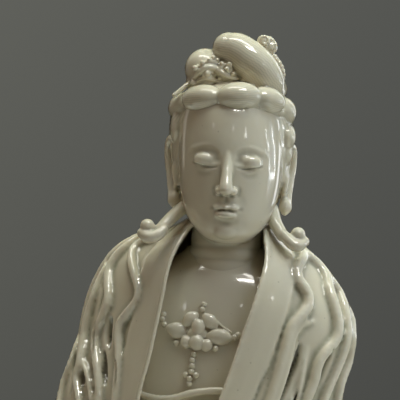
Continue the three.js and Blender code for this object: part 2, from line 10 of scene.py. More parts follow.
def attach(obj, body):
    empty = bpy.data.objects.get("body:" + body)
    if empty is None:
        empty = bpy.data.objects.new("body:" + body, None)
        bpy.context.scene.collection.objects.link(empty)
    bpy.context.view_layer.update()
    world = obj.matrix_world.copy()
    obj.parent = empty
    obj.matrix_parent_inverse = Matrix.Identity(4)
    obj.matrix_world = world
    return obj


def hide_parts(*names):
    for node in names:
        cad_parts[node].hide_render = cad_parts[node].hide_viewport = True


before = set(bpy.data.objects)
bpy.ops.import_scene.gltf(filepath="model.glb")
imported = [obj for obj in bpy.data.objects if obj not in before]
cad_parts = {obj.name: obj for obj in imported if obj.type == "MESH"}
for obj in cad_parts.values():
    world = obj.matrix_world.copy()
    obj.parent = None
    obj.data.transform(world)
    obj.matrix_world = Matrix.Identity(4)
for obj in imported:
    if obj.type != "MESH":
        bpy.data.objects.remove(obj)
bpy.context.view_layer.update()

# Drawing places are in millimetres above the plinth's top; Blender gets metres.
plinthTop = 24.0
bodyTurn = math.radians(-12)
thinRoll = 4  # rolls under this radius get fewer faces
fillAndShadeDepth = 0.003  # strokes pressed in deeper than this, in metres, are painted darkest: glaze filling them and painted shade
fillAndShadeGain = 1.7
combReach = 2.4  # guides are looked for within this many radii
combedWithin = 1.6  # comb marks end this many radii from a guide


def at(x, y, z):
    return Vector((x, y, z + plinthTop)) / 1000


def startFresh():
    if bpy.context.object and bpy.context.object.mode != "OBJECT":
        bpy.ops.object.mode_set(mode="OBJECT")
    bpy.ops.object.select_all(action="DESELECT")


def pick(piece):
    startFresh()
    piece.select_set(True)
    bpy.context.view_layer.objects.active = piece


def readList(values, t):
    return float(np.interp(t, np.linspace(0, 1, len(values)), values))


def smoothRead(places, values, x):
    # a smooth curve through values given at rising places
    i = int(np.clip(np.searchsorted(places, x) - 1, 0, len(places) - 2))

    def slope(k):
        low, high = max(k - 1, 0), min(k + 1, len(places) - 1)
        return (values[high] - values[low]) / (places[high] - places[low])

    width = places[i + 1] - places[i]
    t = min(1.0, max(0.0, (x - places[i]) / width))
    return ((2 * t**3 - 3 * t**2 + 1) * values[i] + (t**3 - 2 * t**2 + t) * width * slope(i)
            + (3 * t**2 - 2 * t**3) * values[i + 1] + (t**3 - t**2) * width * slope(i + 1))


def smoothRoute(points, count):
    # evenly read points on a smooth curve through the given ones
    points = np.array(points, float)
    places = np.concatenate([[0], np.cumsum(np.linalg.norm(np.diff(points, axis=0), axis=1))])
    return np.array([[smoothRead(places, points[:, k], x) for k in range(points.shape[1])]
                     for x in np.linspace(0, places[-1], count)])


# Clay: lumps, strands and lofts are pressed together, fused into one skin and softened.
def lump(centre, size, tip=0.0, spin=0.0, lean=0.0, around=32, down=20, full=2.0):
    # an egg, which full above 2 fills out towards its long ends
    startFresh()
    bpy.ops.mesh.primitive_uv_sphere_add(segments=around, ring_count=down, radius=1, location=at(*centre),
                                         rotation=(lean, tip, spin), scale=[side / 1000 for side in size])
    if full > 2:
        for corner in bpy.context.object.data.vertices:
            out = min(abs(corner.co.x), 0.9999)
            fuller = (1 - out ** full) ** (1 / full) / math.sqrt(1 - out ** 2)
            corner.co.y *= fuller
            corner.co.z *= fuller
    bpy.ops.object.transform_apply(location=True, rotation=True, scale=True)
    return bpy.context.object


def weld(parts):
    startFresh()
    for part in parts:
        part.select_set(True)
    bpy.context.view_layer.objects.active = parts[0]
    if len(parts) > 1:
        bpy.ops.object.join()
    return bpy.context.object


def strand(points, radii, steps=8, tall=0.0):
    # a round roll through the points; tall repeats it above and below, as a share of its radius
    made = []
    for lift in ([-tall, tall] if tall else [0.0]):
        startFresh()
        bpy.ops.curve.primitive_bezier_curve_add(radius=1, location=(0, 0, 0))
        rope = bpy.context.object
        rope.data.dimensions = "3D"
        knots = rope.data.splines[0].bezier_points
        knots.add(len(points) - 2)
        ends = []
        for i, point in enumerate(points):
            radius = readList(radii, i / (len(points) - 1))
            raised = (point[0], point[1], point[2] + lift * radius)
            knots[i].co = at(*raised)
            knots[i].handle_left_type = knots[i].handle_right_type = "AUTO"
            knots[i].radius = radius
            ends.append((raised, radius))
        rope.data.bevel_depth = 0.001
        rope.data.bevel_resolution = 4 if max(radii) < thinRoll else 10
        rope.data.resolution_u = steps
        rope.data.use_fill_caps = True
        bpy.ops.object.convert(target="MESH")
        made.append(bpy.context.object)
        for spot, radius in (ends[0], ends[-1]):
            around, down = (16, 10) if radius < thinRoll else (40, 24)
            made.append(lump(spot, [radius] * 3, around=around, down=down))
    return weld(made)


def loft(rings, around=72, steps=40, turn=0.0, swell=None, exact=False):
    # level oval hoops, listed as [height, centre x, centre y, half width, half depth], bridged into a body
    heights = [ring[0] for ring in rings]
    columns = [[ring[k] for ring in rings] for k in range(1, 5)]
    hoops = []
    for height in (heights if exact else np.linspace(heights[0], heights[-1], steps + 1)):
        cx, cy, rx, ry = [smoothRead(heights, column, height) for column in columns]
        centre = (cx * math.cos(turn) - cy * math.sin(turn), cx * math.sin(turn) + cy * math.cos(turn))
        startFresh()
        bpy.ops.mesh.primitive_circle_add(vertices=around, radius=1, location=at(*centre, height),
                                          rotation=(0, 0, turn))
        hoop = bpy.context.object
        hoop.scale = (rx / 1000, ry / 1000, 1)
        if swell:
            for corner in hoop.data.vertices:
                corner.co *= swell(math.atan2(corner.co.y, corner.co.x), height)
        hoops.append(hoop)
    body = weld(hoops)
    bpy.ops.object.transform_apply(location=True, rotation=True, scale=True)
    bpy.ops.object.mode_set(mode="EDIT")
    bpy.ops.mesh.select_all(action="SELECT")
    bpy.ops.mesh.bridge_edge_loops()
    for height in (heights[0], heights[-1]):
        bpy.ops.object.mode_set(mode="OBJECT")
        level = at(0, 0, height).z
        for corner in body.data.vertices:
            corner.select = abs(corner.co.z - level) < 1e-5
        for edge in body.data.edges:
            edge.select = all(body.data.vertices[v].select for v in edge.vertices)
        for face in body.data.polygons:
            face.select = False
        bpy.ops.object.mode_set(mode="EDIT")
        bpy.ops.mesh.edge_face_add()
    bpy.ops.mesh.select_all(action="SELECT")
    bpy.ops.mesh.normals_make_consistent(inside=False)
    bpy.ops.object.mode_set(mode="OBJECT")
    return body


def finishWith(piece, kind, **settings):
    pick(piece)
    bpy.ops.object.modifier_add(type=kind)
    modifier = piece.modifiers[-1]
    for name, value in settings.items():
        setattr(modifier, name, value)
    bpy.ops.object.modifier_apply(modifier=modifier.name)
    return piece


def fuse(name, parts, grain, soft):
    piece = weld(parts)
    piece.name = piece.data.name = name
    finishWith(piece, "REMESH", mode="VOXEL", voxel_size=grain / 1000, use_smooth_shade=True)
    if soft:
        finishWith(piece, "SMOOTH", factor=0.5, iterations=soft)
    return piece


def skinOf(piece):
    return BVHTree.FromObject(piece, bpy.context.evaluated_depsgraph_get())


def layOn(skin, route, rise=0.0, side=-1, square=False):
    # a route drawn in front view, as (x, z) pairs, laid on a skin and lifted off it; side 1 is the back
    # and square lifts it square to the skin
    laid = []
    for x, z in route:
        spot, normal = skin.ray_cast(at(x, 300 * side, z), Vector((0, -side, 0)))[:2]
        edge = x * math.sin(bodyTurn)
        if spot is None or (spot.y * 1000 - edge) * side < -2:
            # beyond the edge seen from that side
            spot, normal = skin.find_nearest(at(x, edge, z))[:2]
        lifted = spot + (normal if square else Vector((0, side, 0))) * rise / 1000
        laid.append((lifted.x * 1000, lifted.y * 1000, lifted.z * 1000 - plinthTop))
    return laid


def cornersOf(piece):
    count = len(piece.data.vertices)
    spots, normals = np.empty(count * 3), np.empty(count * 3)
    piece.data.vertices.foreach_get("co", spots)
    piece.data.vertex_normals.foreach_get("vector", normals)
    return spots.reshape(-1, 3), normals.reshape(-1, 3)


def keepOn(piece, name, values):
    # keeps a value for each corner of a skin, for the glaze to read
    mark = piece.data.attributes.new(name, "FLOAT", "POINT")
    mark.data.foreach_set("value", values.astype(np.float32))


def tool(piece, strokes):
    # works a skin with a modelling tool: each stroke has a route, half widths and heights, and a height
    # below 0 presses in
    spots, normals = cornersOf(piece)
    shift, filledAndShaded = np.zeros(len(spots)), np.zeros(len(spots))
    for stroke in strokes:
        count = max(8, 4 * len(stroke["route"]))
        route = smoothRoute([at(*point) for point in stroke["route"]], count)
        wide = np.array([readList(stroke["wide"], t) for t in np.linspace(0, 1, count)]) / 1000
        high = np.array([readList(stroke["high"], t) for t in np.linspace(0, 1, count)]) / 1000
        reach = wide.max()
        near = np.where(np.all((spots > route.min(0) - reach) & (spots < route.max(0) + reach), axis=1))[0]
        if not len(near):
            continue
        here = spots[near]
        share = np.full(len(near), 9.0)
        height = np.zeros(len(near))
        for i in range(count - 1):
            along = route[i + 1] - route[i]
            t = np.clip((here - route[i]) @ along / max(along @ along, 1e-18), 0, 1)
            gap = np.linalg.norm(here - route[i] - t[:, None] * along, axis=1)
            gap /= wide[i] + t * (wide[i + 1] - wide[i])
            closer = gap < share
            share[closer] = gap[closer]
            height[closer] = (high[i] + t * (high[i + 1] - high[i]))[closer]
        press = np.clip(1 - share**2, 0, 1) ** 2
        shift[near] += height * press
        # deep presses are kept for the darkest tone: glaze filling them and painted shade
        filledAndShaded[near] = np.maximum(filledAndShaded[near], press * (height < -fillAndShadeDepth))
    spots += normals * shift[:, None]
    piece.data.vertices.foreach_set("co", spots.ravel())
    piece.data.update()
    keepOn(piece, "filledAndShaded", filledAndShaded)


def stroke(route, wide, high):
    return {"route": route, "wide": wide if isinstance(wide, list) else [wide],
            "high": high if isinstance(high, list) else [0, high, high, 0]}


def fan(skin, folds, leans, count=0):
    # strokes that fan out down the back; each place has its reach, shift, height and drop to the sides
    marks = []
    for lean in leans:
        route = [(lean * reach + shift, z - drop * abs(lean)) for reach, shift, z, drop in folds["places"]]
        if count:
            route = smoothRoute(route, count)
        marks.append(stroke(layOn(skin, route, side=1), folds["wide"], folds["high"]))
    return marks


def poolGlazeAndShade(piece, rounds, gain):
    # marks how hollow the skin is, for the glaze that gathers there and the shade painted into creases: 0.5
    # is flat, 1 a crease and 0 a ridge
    spots, normals = cornersOf(piece)
    ends = np.empty(len(piece.data.edges) * 2, np.int32)
    piece.data.edges.foreach_get("vertices", ends)
    ends = ends.reshape(-1, 2)
    mates = np.maximum(np.bincount(ends.ravel(), minlength=len(spots)), 1)
    soft = spots.copy()
    for _ in range(rounds):
        for k in range(3):
            total = (np.bincount(ends[:, 0], soft[ends[:, 1], k], len(spots))
                     + np.bincount(ends[:, 1], soft[ends[:, 0], k], len(spots)))
            soft[:, k] = 0.5 * soft[:, k] + 0.5 * total / mates
    hollow = np.clip(0.5 + gain * ((soft - spots) * normals).sum(1), 0, 1)
    # deep presses take the darkest tone: glaze filling them and painted shade
    if "filledAndShaded" in piece.data.attributes:
        filledAndShaded = np.empty(len(spots), np.float32)
        piece.data.attributes["filledAndShaded"].data.foreach_get("value", filledAndShaded)
        hollow = np.maximum(hollow, np.minimum(1, fillAndShadeGain * filledAndShaded))
    keepOn(piece, "pooledAndShaded", hollow)


def comb(piece, guides, lines):
    # numbers the hairs round each guide, from 0 to lines, for the fine marks along a lock
    spots = cornersOf(piece)[0]
    best = np.full(len(spots), 9.0)
    number = np.zeros(len(spots))
    for route, radii in guides:
        for i in range(len(route) - 1):
            along = route[i + 1] - route[i]
            length = np.linalg.norm(along)
            along = along / length
            radius = readList(radii, i / (len(route) - 1)) / 1000
            near = np.where(np.all(np.abs(spots - route[i]) < combReach * radius + length, axis=1))[0]
            reach = spots[near] - route[i]
            step = np.clip(reach @ along, 0, length)
            reach = reach - step[:, None] * along
            share = np.linalg.norm(reach, axis=1) / radius
            side = np.cross(along, (0.0, 0.0, 1.0))
            side /= np.linalg.norm(side)
            turn = np.arctan2(reach @ side, reach @ np.cross(side, along)) / (2 * math.pi) + 0.5
            closer = share < best[near]
            best[near[closer]] = share[closer]
            number[near[closer]] = turn[closer] * lines
    keepOn(piece, "combed", np.where(best < combedWithin, number, 0))


def addNode(tree, kind, inputs=None, **settings):
    # a shader node with its settings, and its sockets set to values or linked to other nodes
    node = tree.nodes.new(kind)
    for name, value in settings.items():
        setattr(node, name, value)
    for socket, value in (inputs or {}).items():
        if isinstance(value, bpy.types.NodeSocket):
            tree.links.new(value, node.inputs[socket])
        else:
            node.inputs[socket].default_value = value
    return node


def spread(tree, value, span, low=0.0, high=1.0):
    # reads a value over a span as a share from low to high
    limits = {"Value": value, "From Min": span[0], "From Max": span[1], "To Min": low, "To Max": high}
    return addNode(tree, "ShaderNodeMapRange", limits).outputs["Result"]


def blend(tree, share, first, second):
    return addNode(tree, "ShaderNodeMix", {"Factor": share, 6: first, 7: second}, data_type="RGBA").outputs[2]


# Porcelain: an ivory glaze, thin and pale on ridges, greyer green where it gathers, with painted shade
# darkening the creases, over a warm white body.
glaze = {
    # each tone with its place from a ridge, 0, over flat, 0.5, to a crease, 1; the tones towards a crease
    # hold gathered glaze and painted shade
    "thin": (0.76, 0.70, 0.545, 1),
    "thinAt": 0.18,
    "even": (0.65, 0.59, 0.44, 1),
    "evenAt": 0.5,
    "gathered": (0.34, 0.325, 0.225, 1),
    "gatheredAt": 0.82,
    "deep": (0.14, 0.12, 0.075, 1),
    "deepAt": 1.0,
    "cloudSize": 28.0,
    "cloudSpan": (0.42, 0.72),
    "cloudShare": 0.35,
    "cloudTint": (0.60, 0.55, 0.44, 1),
    "speckSize": 155.0,
    "speckSpan": (0.07, 0.03),
    "speckShare": 0.4,
    "speckTint": (0.24, 0.19, 0.13, 1),
    "rippleSize": 210.0,
    "ripple": 0.00005,
    "combing": 0.05,
    "combShade": 0.38,
    "roughness": 0.16,
    "bareRoughness": 0.7,
    "footHeight": 0.0035,
    "footBlend": 0.0006,
    "coat": 0.9,
    "coatRoughness": 0.03,
    "coatBending": 1.5,
    "bending": 1.45,
    "glow": 0.12,
    "glowReach": (1.0, 0.7, 0.42),
    "glowDepth": 0.004,
}


def makePorcelain():
    material = bpy.data.materials.new("porcelain")
    material.use_nodes = True
    tree = material.node_tree
    place = addNode(tree, "ShaderNodeTexCoord").outputs["Object"]
    pooledAndShaded = addNode(tree, "ShaderNodeAttribute", attribute_name="pooledAndShaded").outputs["Fac"]
    combed = addNode(tree, "ShaderNodeAttribute", attribute_name="combed").outputs["Fac"]

    # the glaze tone from ridge to crease: thin glaze, gathered glaze, and painted shade deepening into the
    # creases
    depth = addNode(tree, "ShaderNodeValToRGB", {"Fac": pooledAndShaded})
    tones = depth.color_ramp.elements
    tones[0].position = glaze["thinAt"]
    tones[0].color = glaze["thin"]
    tones[1].position = glaze["deepAt"]
    tones[1].color = glaze["deep"]
    tones.new(glaze["evenAt"]).color = glaze["even"]
    tones.new(glaze["gatheredAt"]).color = glaze["gathered"]

    cloud = addNode(tree, "ShaderNodeTexNoise", {"Vector": place, "Scale": glaze["cloudSize"], "Detail": 3})
    clouded = spread(tree, cloud.outputs["Fac"], glaze["cloudSpan"], high=glaze["cloudShare"])
    colour = blend(tree, clouded, depth.outputs["Color"], glaze["cloudTint"])
    speck = addNode(tree, "ShaderNodeTexVoronoi", {"Vector": place, "Scale": glaze["speckSize"]})
    specked = spread(tree, speck.outputs["Distance"], glaze["speckSpan"], high=glaze["speckShare"])
    colour = blend(tree, specked, colour, glaze["speckTint"])

    # comb marks are a wave across the numbered hairs, in tone and in height
    turns = addNode(tree, "ShaderNodeMath", {0: combed, 1: 2 * math.pi}, operation="MULTIPLY")
    wave = addNode(tree, "ShaderNodeMath", {0: turns.outputs["Value"]}, operation="SINE").outputs["Value"]
    colour = blend(tree, spread(tree, wave, (0.0, 1.0), high=glaze["combShade"]), colour, glaze["gathered"])
    ripple = addNode(tree, "ShaderNodeTexNoise", {"Vector": place, "Scale": glaze["rippleSize"], "Detail": 2})
    marked = addNode(tree, "ShaderNodeMath", {0: wave, 1: glaze["combing"], 2: ripple.outputs["Fac"]},
                     operation="MULTIPLY_ADD")
    bump = addNode(tree, "ShaderNodeBump", {"Strength": 1, "Distance": glaze["ripple"],
                                            "Height": marked.outputs["Value"]})

    # the foot is wiped bare of glaze, so it is duller
    height = addNode(tree, "ShaderNodeSeparateXYZ", {"Vector": place}).outputs["Z"]
    foot, bare = glaze["footHeight"], glaze["footHeight"] - glaze["footBlend"]
    shader = tree.nodes["Principled BSDF"]
    tree.links.new(colour, shader.inputs["Base Color"])
    tree.links.new(bump.outputs["Normal"], shader.inputs["Normal"])
    tree.links.new(spread(tree, height, (foot, bare), glaze["roughness"], glaze["bareRoughness"]),
                   shader.inputs["Roughness"])
    tree.links.new(spread(tree, height, (bare, foot), high=glaze["coat"]), shader.inputs["Coat Weight"])
    shader.inputs["Coat Roughness"].default_value = glaze["coatRoughness"]
    shader.inputs["Coat IOR"].default_value = glaze["coatBending"]
    shader.inputs["IOR"].default_value = glaze["bending"]
    shader.inputs["Subsurface Weight"].default_value = glaze["glow"]
    shader.inputs["Subsurface Radius"].default_value = glaze["glowReach"]
    shader.inputs["Subsurface Scale"].default_value = glaze["glowDepth"]
    return material


porcelain = makePorcelain()


def finishPiece(piece, rounds, gain):
    poolGlazeAndShade(piece, rounds, gain)
    piece.data.materials.clear()
    piece.data.materials.append(porcelain)
    pick(piece)
    bpy.ops.object.shade_smooth()
    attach(piece, "root")
    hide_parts("guanyin_figure")
    print("made", piece.name, sum(len(face.vertices) - 2 for face in piece.data.polygons), "triangles")
    return piece


# Stage: a pale floor, a dim room and soft lamps.
stage = {
    "centre": (-12.6, -15, 203.8),
    "distance": 638,
    "angle": 15,
    "roll": 4,
    "floorSize": 0.7,
    "floorColour": (0.62, 0.61, 0.58, 1),
    "floorRoughness": 0.6,
    "wallLitLeft": (0.108, 0.110, 0.097, 1),
    "wallShadedRight": (0.074, 0.076, 0.070, 1),
    "wallSpan": (-0.2, 0.2),
    "wallStrength": (0.8, 1.2),
    "wallThrown": (0.010, 0.0085, 0.006, 1),
}


def makeStage():
    startFresh()
    bpy.ops.mesh.primitive_plane_add(size=stage["floorSize"], location=(0, 0, 0))
    floor = bpy.context.object
    floor.name = "floor"
    pale = bpy.data.materials.new("paleFloor")
    pale.use_nodes = True
    surface = pale.node_tree.nodes["Principled BSDF"]
    surface.inputs["Base Color"].default_value = stage["floorColour"]
    surface.inputs["Roughness"].default_value = stage["floorRoughness"]
    floor.data.materials.append(pale)

    x, y, z = stage["centre"]
    bpy.ops.object.camera_add(location=at(x, y - stage["distance"], z))
    camera = bpy.context.object
    camera.rotation_euler = (Matrix.Rotation(math.radians(90), 4, "X")
                             @ Matrix.Rotation(math.radians(stage["roll"]), 4, "Z")).to_euler()
    camera.data.angle = math.radians(stage["angle"])
    camera.data.clip_start = 0.01
    bpy.context.scene.camera = camera
    bpy.context.scene.view_settings.view_transform = "Standard"

    world = bpy.data.worlds.new("dimRoom")
    world.use_nodes = True
    bpy.context.scene.world = world
    tree = world.node_tree
    direction = addNode(tree, "ShaderNodeTexCoord").outputs["Generated"]
    parts = addNode(tree, "ShaderNodeSeparateXYZ", {"Vector": direction})
    # the wall seen behind is painted with the light falling on it: lighter to the left and towards the top
    across = spread(tree, parts.outputs["X"], stage["wallSpan"])
    upward = spread(tree, parts.outputs["Z"], stage["wallSpan"], *stage["wallStrength"])
    tone = blend(tree, across, stage["wallLitLeft"], stage["wallShadedRight"])
    # the wall is seen as it is, and the light it throws back is dimmer and warmer
    seen = addNode(tree, "ShaderNodeLightPath").outputs["Is Camera Ray"]
    tree.links.new(blend(tree, seen, stage["wallThrown"], tone), tree.nodes["Background"].inputs["Color"])
    tree.links.new(upward, tree.nodes["Background"].inputs["Strength"])


bodyMiddle = (0, -10, 190)
# each lamp: place and aim in mm, width and height in m, watts, colour; a soft one casts no mirror image
softLamps = {
    "top": ((0, 0, 900), bodyMiddle, 0.4, 0.4, 4.7, (0.91, 1.0, 0.95)),
    "topBack": ((0, 420, 760), bodyMiddle, 0.4, 0.4, 4.4, (0.90, 1.0, 0.82)),
    "topRight": ((420, -260, 720), bodyMiddle, 0.5, 0.5, 2.8, (0.76, 0.87, 1.0)),
    "topLeft": ((-420, -260, 720), bodyMiddle, 0.5, 0.5, 0.6, (1.0, 0.88, 0.74)),
    "right": ((740, -200, 330), bodyMiddle, 0.5, 0.5, 1.6, (0.90, 0.96, 1.0)),
    "left": ((-740, -200, 330), bodyMiddle, 0.5, 0.5, 0.36, (1.0, 0.66, 0.56)),
    "frontRight": ((480, -640, 380), bodyMiddle, 0.4, 0.4, 0.2, (1.0, 0.66, 0.40)),
}
# lamps that are seen in the glaze, and throw no light of their own
mirrorLamps = {
    "strip": ((-48, -140, 755), (0, -15, 190), 0.58, 0.07, 1.3, (1.0, 0.97, 0.90)),
    "overHair": ((150, -370, 780), (0, -29, 250), 0.24, 0.08, 1.5, (1.0, 0.97, 0.92)),
    "spotLeft": ((-440, -460, 430), (-10, -25, 230), 0.035, 0.035, 0.015, (1.0, 0.97, 0.92)),
    "spotRight": ((370, -520, 430), (10, -20, 230), 0.05, 0.05, 0.05, (1.0, 0.98, 0.95)),
    "spotFront": ((57, -634, 465), (-1, -28, 234), 0.025, 0.025, 0.01, (1.0, 0.98, 0.95)),
    "backRight": ((420, 420, 420), (0, 0, 200), 0.1, 0.6, 0.4, (0.96, 0.98, 1.0)),
    "backLeft": ((-460, 360, 420), (0, 0, 200), 0.1, 0.5, 0.07, (1.0, 0.94, 0.84)),
}
windowAim = (0, -20, 225)
# a window on the right: its pane and lit edges as lines in mm, with width in m, watts and colour
windowLines = {
    "pane": ((630, 67, 392), (608, 230, 218), 0.2, 0.10, (0.72, 0.84, 1.0)),
    "near": ((641, -35, 401), (646, 138, 218), 0.014, 0.10, (0.94, 0.97, 1.0)),
    "far": ((620, 169, 378), (571, 323, 219), 0.014, 0.10, (0.94, 0.97, 1.0)),
    "sill": ((646, 138, 218), (571, 323, 219), 0.014, 0.06, (0.94, 0.97, 1.0)),
}


def addLamp(name, spot, turned, wide, tall, watts, colour):
    startFresh()
    bpy.ops.object.light_add(type="AREA", location=spot)
    lamp = bpy.context.object
    lamp.name = name
    lamp.rotation_euler = turned.to_euler()
    lamp.data.shape = "RECTANGLE"
    lamp.data.size, lamp.data.size_y = wide, tall
    lamp.data.energy = watts
    lamp.data.color = colour
    return lamp


def makeLamps():
    for name, (place, aim, wide, tall, watts, colour) in {**softLamps, **mirrorLamps}.items():
        spot = at(*place)
        lamp = addLamp(name, spot, (at(*aim) - spot).to_track_quat("-Z", "Y"), wide, tall, watts, colour)
        lamp.visible_glossy = name in mirrorLamps
        lamp.visible_diffuse = name in softLamps
    for name, (start, end, wide, watts, colour) in windowLines.items():
        start, end = at(*start), at(*end)
        spot = (start + end) / 2
        along = (end - start).normalized()
        back = (spot - at(*windowAim)).normalized()
        across = along.cross(back).normalized()
        turned = Matrix((across, along, across.cross(along))).transposed()
        lamp = addLamp(name, spot, turned, wide, (end - start).length, watts, colour)
        lamp.visible_diffuse = False


makeStage()
makeLamps()
print("stage is set")

# Head and neck. The face is a calm one on even thirds: hairline, brow, base of the nose and chin.
face = {
    "turn": -4,
    "chin": 188.0,
    "hairline": 242.6,
    "crown": 254.0,
    "lean": (0.8, 0.04),
    "roundness": 0.022,
    "eyeWidth": 9.0,
    "rings": [[186.4, -16.5, 5, 5.5], [187.6, -15.8, 8.6, 9], [190, -14.3, 12, 13],
              [193, -12.4, 14.8, 16], [197, -9.8, 17.6, 19.4], [204, -6.6, 20.2, 22.8],
              [212, -4.6, 21.8, 24.8], [222, -3.6, 22.6, 26], [232, -3, 22.6, 26], [242, -3, 21.2, 23.6],
              [250, -2, 17, 18.5], [255, -2, 8, 10]],
    "neckRings": [[164, 0, 0.5, 16, 16], [172, 0, 0.5, 16.6, 16.6], [178, 0, 0.5, 16.3, 16.3],
                  [179.4, 0, 0.5, 15.6, 15.6], [181, 0, 0.5, 16, 16], [183, 0, 0.5, 15.8, 15.8],
                  [184.4, 0, 0.5, 15.1, 15.1], [186, 0, 0.5, 15.4, 15.4], [196, 0, 0.5, 15, 15],
                  [206, 0, 0.5, 13, 13]],
    "earRim": ([(21.6, -5.5, 215), (22.3, -6, 222), (23.8, -3.6, 228), (26.3, 2, 229), (27, 5, 223.5),
                (26.0, 4.4, 215), (24.6, 1.5, 208), (23.9, -2.6, 203)],
               [1.3, 1.5, 1.7, 1.9, 1.9, 1.9, 2.4, 2.9]),
    "earLobe": ((23.8, -2.4, 203.4), (2.4, 3.4, 3.9)),
    "earBack": ((23.2, 0, 216), (2.0, 5.4, 11)),
    "earFold": ([(23.3, -4.6, 210), (24.2, -3.4, 215), (24.9, -0.6, 221)], [1.0, 1.1, 0.9]),
    "earHollow": [(26, -2.5, 222), (26.2, -1.2, 216), (25.8, -1.6, 210)],
    "grain": 0.48,
}


def leaned(z):
    start, slope = face["lean"]
    return start - slope * (z - face["chin"])


def faceFront(x, z):
    heights = [ring[0] for ring in face["rings"]]
    return smoothRead(heights, [ring[1] - ring[3] for ring in face["rings"]], z) + face["roundness"] * x * x


def onFace(x, z, out=0.0):
    return (x + leaned(z), faceFront(x, z) - out, z)


def beside(side, x, y, z):
    return (side * x + leaned(z), y, z)


